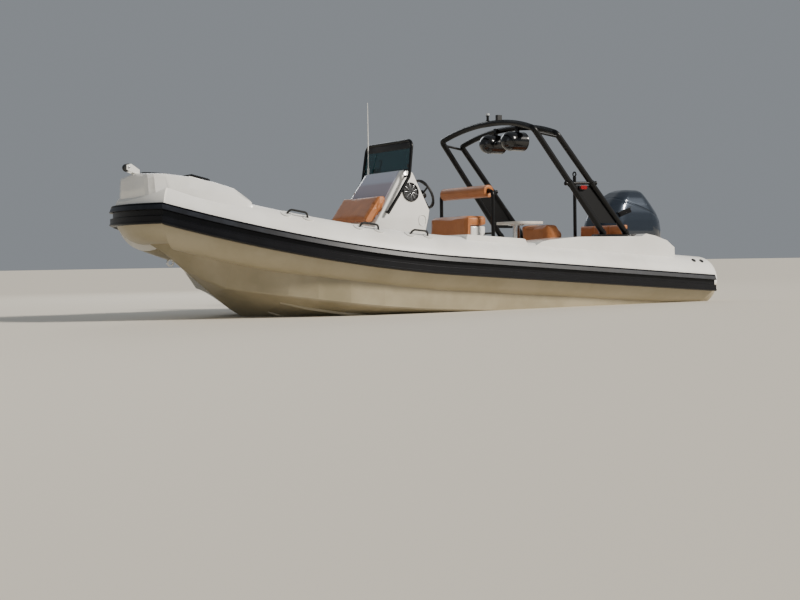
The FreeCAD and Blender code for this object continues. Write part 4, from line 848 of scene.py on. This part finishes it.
def turned(steps, at, axis, sides):
    """A disc extruded and scaled through pairs of radius and height, then set on its axis."""
    clear_selection()
    radius, height = steps[0]
    bpy.ops.mesh.primitive_circle_add(vertices=sides, radius=radius, fill_type="NGON",
                                      location=(0, 0, height))
    bpy.ops.object.mode_set(mode="EDIT")
    bpy.ops.mesh.select_all(action="SELECT")
    for next_radius, next_height in steps[1:]:
        rise = next_height - height
        bpy.ops.mesh.extrude_region_move(TRANSFORM_OT_translate={"value": (0, 0, rise)})
        factor = next_radius / radius
        bpy.ops.transform.resize(value=(factor, factor, 1.0))
        radius, height = next_radius, next_height
    bpy.ops.mesh.select_all(action="SELECT")
    bpy.ops.mesh.normals_make_consistent(inside=False)
    bpy.ops.object.mode_set(mode="OBJECT")
    piece = bpy.context.active_object
    turn = Vector(axis).to_track_quat("Z", "Y").to_matrix().to_4x4()
    piece.matrix_world = Matrix.Translation(at) @ turn @ piece.matrix_world
    return piece


print("blocks and turned pieces ready")

# %% [markdown]
# A thin layer on a curved surface is best made of that surface itself. A copy is cut to size by
# planes, only the faces that look one way are kept, and they get a thickness, mostly outwards.

# %% Layers cut from a surface
def keep_between(*planes):
    """Cut the active piece by planes, each a point and a normal, and keep what lies behind them."""
    bpy.ops.object.mode_set(mode="EDIT")
    for point, normal in planes:
        bpy.ops.mesh.select_all(action="SELECT")
        bpy.ops.mesh.bisect(plane_co=point, plane_no=normal, clear_outer=True, use_fill=False)
    bpy.ops.object.mode_set(mode="OBJECT")


def keep_facing(direction, least):
    """Keep only the faces that look about one way."""
    piece = bpy.context.active_object
    direction = Vector(direction)
    bpy.ops.object.mode_set(mode="EDIT")
    mesh = bmesh.from_edit_mesh(piece.data)
    for face in mesh.faces:
        face.select_set(face.normal.dot(direction) < least)
    bmesh.update_edit_mesh(piece.data)
    bpy.ops.mesh.delete(type="FACE")
    bpy.ops.object.mode_set(mode="OBJECT")


def thicken(outwards, inwards=0.002):
    """Give an open skin a wall, mostly outside the surface that it was copied from."""
    piece = bpy.context.active_object
    wall = piece.modifiers.new("wall", "SOLIDIFY")
    wall.thickness = outwards + inwards
    wall.offset = (outwards - inwards) / (outwards + inwards)
    wall.use_even_offset = True
    wall.thickness_clamp = 1.5
    bpy.ops.object.modifier_apply(modifier=wall.name)
    return piece


print("surface layers ready")

# %% [markdown]
# A fitting on a slope is modelled flat at the origin and then stood on its place. What repeats is
# modelled once, and each copy has its own mesh, so the copies can be joined to one piece.

# %% Placing and repeating
def stand_on(piece, at, up, ahead=(1.0, 0.0, 0.0)):
    """Set a piece that is modelled at the origin on a surface: its Z along up, its X towards ahead."""
    up = Vector(up).normalized()
    side = up.cross(Vector(ahead)).normalized()
    turn = Matrix((side.cross(up), side, up)).transposed().to_4x4()
    piece.matrix_world = Matrix.Translation(at) @ turn @ piece.matrix_world
    return piece


def joined(pieces):
    """Join pieces into the first, which becomes the active one."""
    clear_selection()
    bpy.context.view_layer.update()
    for piece in pieces:
        piece.select_set(True)
    bpy.context.view_layer.objects.active = pieces[0]
    bpy.ops.object.join()
    return bpy.context.active_object


def repeated(piece, moves):
    """A piece and its moved copies, each with its own mesh, joined."""
    bpy.context.view_layer.update()
    pieces = [piece]
    for move in moves:
        twin = bpy.data.objects.new(piece.name, piece.data.copy())
        twin.matrix_world = Matrix.Translation(move) @ piece.matrix_world
        bpy.context.scene.collection.objects.link(twin)
        pieces.append(twin)
    return joined(pieces)


print("placing ready")

# %% [markdown]
# The bow moulding carries a black non-skid mat on its crown, which shows from the side as a thin
# dark line, and the locker lid has a ribbed rubber mat of its own. The first is a strip of the
# moulding's own surface, given a thickness. The second is a block with a row of ribs, modelled flat
# and stood on the sloping lid.

# %% Bow mats
MAT_FORE = 3.20
MAT_AFT = 2.80
MAT_HALF_WIDTH = 0.27
MAT_THICKNESS = 0.010

copy_solid("bow_nose")
keep_between(((MAT_FORE, 0, 0), (1, 0, 0)), ((MAT_AFT, 0, 0), (-1, 0, 0)),
             ((0, MAT_HALF_WIDTH, 0), (0, 1, 0)), ((0, -MAT_HALF_WIDTH, 0), (0, -1, 0)))
keep_facing((0, 0, 1), 0.85)
thicken(MAT_THICKNESS)
finish_piece("bow_non_skid_mat", "black_plastic", finish=treaded)

LID_SLOPE = 0.2232
LID_FACE = Vector((2.655, 0.0, 1.3105))
RIB_COUNT = 10
RIB_PITCH = 0.018
base = block((-0.100, -0.165, -0.001), (0.100, 0.165, 0.026), 0.008)
rib = block((-0.085, -0.150, 0.024), (-0.077, 0.150, 0.032), 0.0015)
ribs_row = repeated(rib, [(RIB_PITCH * step, 0, 0) for step in range(1, RIB_COUNT)])
mat = joined([base, ribs_row])
stand_on(mat, LID_FACE, (-LID_SLOPE, 0, 1))
finish_piece("locker_lid_mat", "black_plastic", body="bow_locker_lid", finish=treaded)
print("bow mats made")

# %% [markdown]
# The anchor roller turns on a steel bolt. Its domed heads show outside the two cheeks.

# %% Roller bolts
BOLT_AT = Vector((3.306, 0.045, 1.412))

for side, word in SIDES:
    turned([(0.010, 0), (0.010, 0.003), (0.007, 0.006), (0.003, 0.007)],
           (BOLT_AT.x, side * BOLT_AT.y, BOLT_AT.z), (0, side, 0), 20)
    finish_piece("roller_bolt_" + word, "steel")
print("roller bolts made")

# %% [markdown]
# The windscreen is framed by its tube, with a broad black header band printed along the top of the
# acrylic and a narrow seal along its foot. Four clips hold the sheet to the tube.

# %% Windscreen trim
SCREEN_FOOT = Vector((0.440, 0.0, 1.440))
SCREEN_HEIGHT = 0.315
SCREEN_LEANS_BY = 0.040
SCREEN_LEAN = math.atan2(SCREEN_LEANS_BY, SCREEN_HEIGHT)


def on_screen(z):
    """The middle of the glass at a height."""
    return Vector((SCREEN_FOOT.x - SCREEN_LEANS_BY * (z - SCREEN_FOOT.z) / SCREEN_HEIGHT, 0.0, z))


glass_up = Vector((-math.sin(SCREEN_LEAN), 0, math.cos(SCREEN_LEAN)))
for name, z, half_height, half_width, half_depth in (("screen_header_band", 1.709, 0.036, 0.402, 0.0045),
                                                     ("screen_foot_seal", 1.452, 0.008, 0.415, 0.0060)):
    strip = block((-half_depth, -half_width, -half_height), (half_depth, half_width, half_height),
                  0.0015)
    stand_on(strip, on_screen(z), glass_up)
    finish_piece(name, "black_plastic")
for side, word in SIDES:
    clip = block((-0.010, -0.016, -0.018), (0.010, 0.010, 0.018), 0.004)
    clip = repeated(clip, [(-0.030, 0, 0.225)])
    clip.matrix_world = Matrix.Translation((0.437, side * 0.412, 1.490)) @ clip.matrix_world
    finish_piece("screen_clips_" + word, "black_plastic")
print("windscreen trim made")

# %% [markdown]
# Port and starboard fittings are mirror images. A negative scale turns a mesh inside out, so the
# twin's normals are worked out again once its scale is applied.

# %% Mirrored twins
def twin_of(piece, name, slot_name):
    """The same finished piece on the other side, with its faces turned out again."""
    clear_selection()
    twin = bpy.data.objects.new(name, piece.data.copy())
    bpy.context.scene.collection.objects.link(twin)
    twin.select_set(True)
    bpy.context.view_layer.objects.active = twin
    twin.scale = (1.0, -1.0, 1.0)
    bpy.ops.object.transform_apply(location=False, rotation=False, scale=True)
    bpy.ops.object.mode_set(mode="EDIT")
    bpy.ops.mesh.select_all(action="SELECT")
    bpy.ops.mesh.normals_make_consistent(inside=False)
    bpy.ops.object.mode_set(mode="OBJECT")
    return finish_piece(name, slot_name)


print("twins ready")

# %% [markdown]
# A coaxial speaker has a rolled rim, a deep cone and a small dome, and a guard of radial ribs with
# pale edges over it. The front is turned in one go, from the rim in to the dome. One rib is
# modelled and copied round the axis, and the starboard speaker is the port one mirrored.

# %% Console speakers
SPEAKER_OUT = Vector((0.0, math.cos(0.1105), math.sin(0.1105)))
SPEAKER_FACE = Vector((0.392, 0.3706, 1.225)) + SPEAKER_OUT * 0.002
GUARD_RIBS = 9
cone = turned([(0.100, 0), (0.100, 0.008), (0.095, 0.014), (0.088, 0.014), (0.084, 0.008),
               (0.082, 0.003), (0.045, 0.001), (0.028, 0.002), (0.022, 0.008), (0.012, 0.012),
               (0.003, 0.013)], (0, 0, 0), (0, 0, 1), 48)
ribs_round = []
for step in range(GUARD_RIBS):
    rib = block((0.018, -0.0018, 0.012), (0.086, 0.0018, 0.016), 0.0008)
    rib.matrix_world = Matrix.Rotation(math.tau * step / GUARD_RIBS, 4, "Z") @ rib.matrix_world
    ribs_round.append(rib)
guard = joined(ribs_round)
stand_on(guard, SPEAKER_FACE, SPEAKER_OUT)
guard = finish_piece("speaker_guard_port", "steel")
clear_selection()
stand_on(cone, SPEAKER_FACE, SPEAKER_OUT)
cone.select_set(True)
bpy.context.view_layer.objects.active = cone
cone = finish_piece("console_speaker_port", "speaker_grille")
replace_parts(cone, "console_speakers")
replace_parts(twin_of(cone, "console_speaker_starboard", "speaker_grille"), "console_speakers")
twin_of(guard, "speaker_guard_starboard", "steel")
print("console speakers made")

# %% [markdown]
# The dash faces aft, to the helm seat: a chart display, two round gauges beside it and a row of
# rocker switches, all on the raked panel ahead of the wheel. Gauges are turned, with a bezel round a
# sunken face. The dials stay blank.

# %% Dash fittings
DASH_OUT = Vector((-0.910, 0.0, 0.414))
DASH_LOW = Vector((0.165, 0.0, 1.040))
DASH_RUN = 0.175
DASH_RISE = 0.385
DISPLAY_Y = -0.120
GAUGE_YS = (0.235, 0.300)
SWITCH_COUNT = 6
SWITCH_PITCH = 0.026


def on_dash(share, y):
    """A point of the dash, from its low edge at 0 to its top edge at 1."""
    return Vector((DASH_LOW.x + DASH_RUN * share, y, DASH_LOW.z + DASH_RISE * share))


case = block((-0.070, -0.115, -0.002), (0.070, 0.115, 0.018), 0.006)
stand_on(case, on_dash(0.66, DISPLAY_Y), DASH_OUT, (0, 0, 1))
finish_piece("chart_display_case", "black_plastic")
pane = block((-0.058, -0.100, 0.0175), (0.058, 0.100, 0.0200), 0.001)
stand_on(pane, on_dash(0.66, DISPLAY_Y), DASH_OUT, (0, 0, 1))
finish_piece("chart_display_glass", "smoked_panel", finish=display)
for number, y in enumerate(GAUGE_YS):
    turned([(0.028, -0.001), (0.028, 0.008), (0.025, 0.011), (0.022, 0.010), (0.021, 0.004)],
           on_dash(0.80, y), DASH_OUT, 32)
    finish_piece("gauge_bezel_" + str(number), "steel")
    turned([(0.021, 0.003), (0.021, 0.0055), (0.010, 0.0062)], on_dash(0.80, y), DASH_OUT, 32)
    finish_piece("gauge_face_" + str(number), "black_plastic", finish=display)
switch = block((-0.014, -0.010, -0.001), (0.014, 0.010, 0.008), 0.003)
switches = repeated(switch, [(0, SWITCH_PITCH * step, 0) for step in range(1, SWITCH_COUNT)])
stand_on(switches, on_dash(0.30, -0.185), DASH_OUT, (0, 0, 1))
finish_piece("rocker_switches", "black_plastic")
print("display,", len(GAUGE_YS), "gauges and", SWITCH_COUNT, "switches made")

# %% [markdown]
# The wheel has a padded rim, bound with thumb grips, and a round boss cap. A grip is a short bar
# swept along the rim, a little thicker than the rim itself. All of them ride on the wheel's body,
# so they turn with it.

# %% Wheel cap and grips
WHEEL_AT = Vector((0.040, 0.100, 1.225))
WHEEL_RAKE = math.radians(26)
RIM_RADIUS = 0.157
GRIP_RADIUS = 0.0168
GRIP_STEP = 5
WHEEL_OUT = Vector((-math.cos(WHEEL_RAKE), 0.0, math.sin(WHEEL_RAKE)))
turned([(0.046, -0.004), (0.046, 0.008), (0.038, 0.014), (0.020, 0.017), (0.005, 0.018)],
       WHEEL_AT, WHEEL_OUT, 40)
finish_piece("wheel_boss_cap", "black_plastic", body="steering_wheel")
wheel_side = Vector((0, 1, 0))
wheel_up = WHEEL_OUT.cross(wheel_side)
for number, middle_angle in enumerate((55, 125, 235, 305)):
    arc = []
    for step in range(-3, 4):
        angle = math.radians(middle_angle + GRIP_STEP * step)
        arc.append(WHEEL_AT + (wheel_side * math.cos(angle) + wheel_up * math.sin(angle)) * RIM_RADIUS)
    swept(arc, GRIP_RADIUS)
    finish_piece("wheel_grip_" + str(number), "black_plastic", body="steering_wheel")
print("wheel cap and grips made")

# %% [markdown]
# The small hatch on the console's port side shows only as its rounded frame, a thin bar swept round
# the corners of the opening.

# %% Side hatch
HATCH_MIDDLE = Vector((0.268, 0.4015, 0.935))
HATCH_CORNERS = ((-0.045, -0.030), (-0.045, 0.030), (-0.020, 0.055), (0.020, 0.055),
                 (0.045, 0.030), (0.045, -0.030), (0.020, -0.055), (-0.020, -0.055))

hatch = [(HATCH_MIDDLE.x + ahead, HATCH_MIDDLE.y, HATCH_MIDDLE.z + up) for ahead, up in HATCH_CORNERS]
swept(hatch, 0.0035, closed=True)
finish_piece("side_hatch_frame", "white_plastic")
print("side hatch made")

# %% [markdown]
# Each leg of the arch passes through two cast collars, one near its foot and one at the cross bar.
# The legs lean two ways, so a collar is turned and then set on the line from foot to corner. The
# starboard ones are the port ones mirrored.

# %% Arch collars
LEGS = ((Vector((-1.848, 0.880, 0.775)), Vector((-0.900, 0.815, 1.905))),
        (Vector((-2.200, 0.880, 0.775)), Vector((-1.205, 0.835, 1.863))))
COLLAR_HEIGHTS = (0.800, 1.330)

collars = []
for foot, corner in LEGS:
    run = (corner - foot).normalized()
    for z in COLLAR_HEIGHTS:
        spot = foot + run * ((z - foot.z) / run.z)
        collars.append(turned([(0.0325, -0.022), (0.037, -0.020), (0.037, 0.020), (0.0325, 0.022)],
                              spot, run, 32))
joined(collars)
arch_collars = finish_piece("arch_collars_port", "black_metal")
twin_of(arch_collars, "arch_collars_starboard", "black_metal")
print("collars on", 2 * len(LEGS), "legs made")

# %% [markdown]
# A navigation lamp sits in a black bezel with a soft oblong outline. Raising the sine and the cosine
# of a circle to a power below one squares it up, which saves drawing the corners. The stern light
# stands on a black stem, turned in one go.

# %% Lamp bezels and stern stem
BEZEL_RADIUS = 0.006
BEZEL_MARGIN = 0.002
BEZEL_IN = 0.012
BEZEL_STEPS = 24
STEM_DROP = 0.086


def squared(share, power):
    """A sine or cosine, pushed out towards a square's corner."""
    return math.copysign(abs(share) ** power, share)


low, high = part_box("nav_light_port")
middle_x, middle_z = (low[0] + high[0]) / 2, (low[2] + high[2]) / 2
half_x, half_z = (high[0] - low[0]) / 2, (high[2] - low[2]) / 2
bezel = []
for step in range(BEZEL_STEPS):
    angle = math.tau * step / BEZEL_STEPS
    bezel.append((middle_x + squared(math.cos(angle), 0.5) * (half_x + BEZEL_MARGIN),
                  low[1] + BEZEL_IN,
                  middle_z + squared(math.sin(angle), 0.7) * (half_z + BEZEL_MARGIN)))
swept(bezel, BEZEL_RADIUS, closed=True)
lamp_bezel = finish_piece("lamp_bezel_port", "black_plastic")
twin_of(lamp_bezel, "lamp_bezel_starboard", "black_plastic")

low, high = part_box("stern_light")
stem_at = ((low[0] + high[0]) / 2, (low[1] + high[1]) / 2, high[2] - STEM_DROP)
turned([(0.024, 0.0), (0.024, 0.006), (0.0145, 0.012), (0.0145, 0.056), (0.0235, 0.060),
        (0.0235, 0.064)], stem_at, (0, 0, 1), 28)
finish_piece("stern_light_stem", "black_metal")
print("lamp bezels and stern light stem made")

# %% [markdown]
# The two bullet speakers under the crown have a trim ring and a sunken grille at their aft end, and
# a raised ring where the two halves of the shell meet.

# %% Bullet speakers
TOWER_SPEAKER = Vector((-1.160, 0.190, 1.830))

for side, word in SIDES:
    at = Vector((TOWER_SPEAKER.x, side * TOWER_SPEAKER.y, TOWER_SPEAKER.z))
    turned([(0.102, -0.125), (0.106, -0.128), (0.107, -0.120), (0.1055, -0.112)], at, (1, 0, 0), 56)
    finish_piece("tower_trim_ring_" + word, "steel", finish=gloss)
    turned([(0.094, -0.127), (0.092, -0.1295), (0.050, -0.1285), (0.012, -0.1275)], at, (1, 0, 0), 48)
    finish_piece("tower_grille_" + word, "speaker_grille")
    turned([(0.1052, 0.040), (0.1075, 0.042), (0.1075, 0.062), (0.1052, 0.064)], at, (1, 0, 0), 56)
    finish_piece("tower_seam_ring_" + word, "steel", finish=gloss)
print("bullet speakers made")

# %% [markdown]
# The cowl is one smooth moulded hood. Its solid is lofted between level outlines, so its copy is
# remeshed into small even squares and relaxed until the facets melt into one curve. Then the joint
# above the lower pan and the sweep line of the top cover are pressed in along the normals, as the
# mould would form them.

# %% Engine cowl
PAN_JOINT_Z = 0.668
SWEEP_AT = Vector((-3.0, 0.0, 1.145))
SWEEP_NORMAL = Vector((-0.33, 0.0, 0.944))
SWEEP_END_X = -3.36
GROOVE_HALF_WIDTH = 0.012


def press(piece, depth_at):
    """Push each point inwards along its normal by a depth that depends on its place."""
    for vertex in piece.data.vertices:
        depth = depth_at(vertex.co)
        if depth:
            vertex.co -= vertex.normal * depth


def groove(distance, depth):
    """Depth of a round groove at a distance from its middle line."""
    share = abs(distance) / GROOVE_HALF_WIDTH
    return depth * (1 - share ** 2) if share < 1 else 0.0


def sweep_line(place):
    """The top cover's sweep line, which ends short of the cowl's tail."""
    return groove((place - SWEEP_AT).dot(SWEEP_NORMAL), 0.005) if place.x > SWEEP_END_X else 0.0


cowl = copy_solid("engine_cowl")
cowl.data.remesh_voxel_size = 0.0085
bpy.ops.object.voxel_remesh()
relax = cowl.modifiers.new("relax", "SMOOTH")
relax.factor = 0.5
relax.iterations = 40
bpy.ops.object.modifier_apply(modifier=relax.name)
press(cowl, lambda place: groove(place.z - PAN_JOINT_Z, 0.007))
press(cowl, sweep_line)
finish_piece("engine_cowl_hood", "engine_paint", body="engine_steering", smooth=60.0)
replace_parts(cowl, "engine_cowl")
print("cowl", len(cowl.data.polygons), "faces")

# %% [markdown]
# A louvred air intake sits high on each side of the cowl, under a moulded brow. Both are stood on
# the place of the hood nearest to a point beside it, so they follow its curve, and they lean with
# the top line.

# %% Cowl intakes
INTAKE_BESIDE = Vector((-2.785, 0.5, 1.105))
INTAKE_AHEAD = (-0.952, 0, 0.305)

for side, word in SIDES:
    beside = Vector((INTAKE_BESIDE.x, side * INTAKE_BESIDE.y, INTAKE_BESIDE.z))
    found, spot, out, number = cowl.closest_point_on_mesh(beside)
    tray = block((-0.100, -0.030, -0.025), (0.100, 0.028, 0.004), 0.008)
    slat = block((-0.090, -0.020, 0.000), (0.090, -0.014, 0.009), 0.002)
    slats = repeated(slat, [(0, 0.012, 0), (0, 0.024, 0)])
    stand_on(joined([tray, slats]), spot, out, INTAKE_AHEAD)
    finish_piece("cowl_intake_" + word, "black_plastic", body="engine_steering", finish=treaded)
    brow = block((-0.120, 0.024, -0.020), (0.120, 0.036, 0.012), 0.006)
    stand_on(brow, spot, out, INTAKE_AHEAD)
    finish_piece("cowl_brow_" + word, "engine_paint", body="engine_steering")
print("cowl intakes made")

# %% [markdown]
# The cockpit floor is laid with non-skid panels, moulded into the deck with a smooth waterway left
# round them. Each is a thin block with rounded edges, sunk 1 mm into the floor and standing 3 mm
# above it.

# %% Non-skid deck panels
SOLE_Z = 0.120
FORE_WELL_Z = 0.400
PANEL_SINK = 0.001
PANEL_STANDS = 0.003

for name, aft, fore, half_width, floor_z in (("sole_non_skid_fore", -0.33, 0.15, 0.50, SOLE_Z),
                                             ("sole_non_skid_mid", -1.16, -0.66, 0.50, SOLE_Z),
                                             ("fore_well_non_skid", 1.34, 2.20, 0.20, FORE_WELL_Z)):
    block((aft, -half_width, floor_z - PANEL_SINK), (fore, half_width, floor_z + PANEL_STANDS),
          0.0015, 2)
    finish_piece(name, "white_gelcoat", finish=tread)
print("deck panels made")
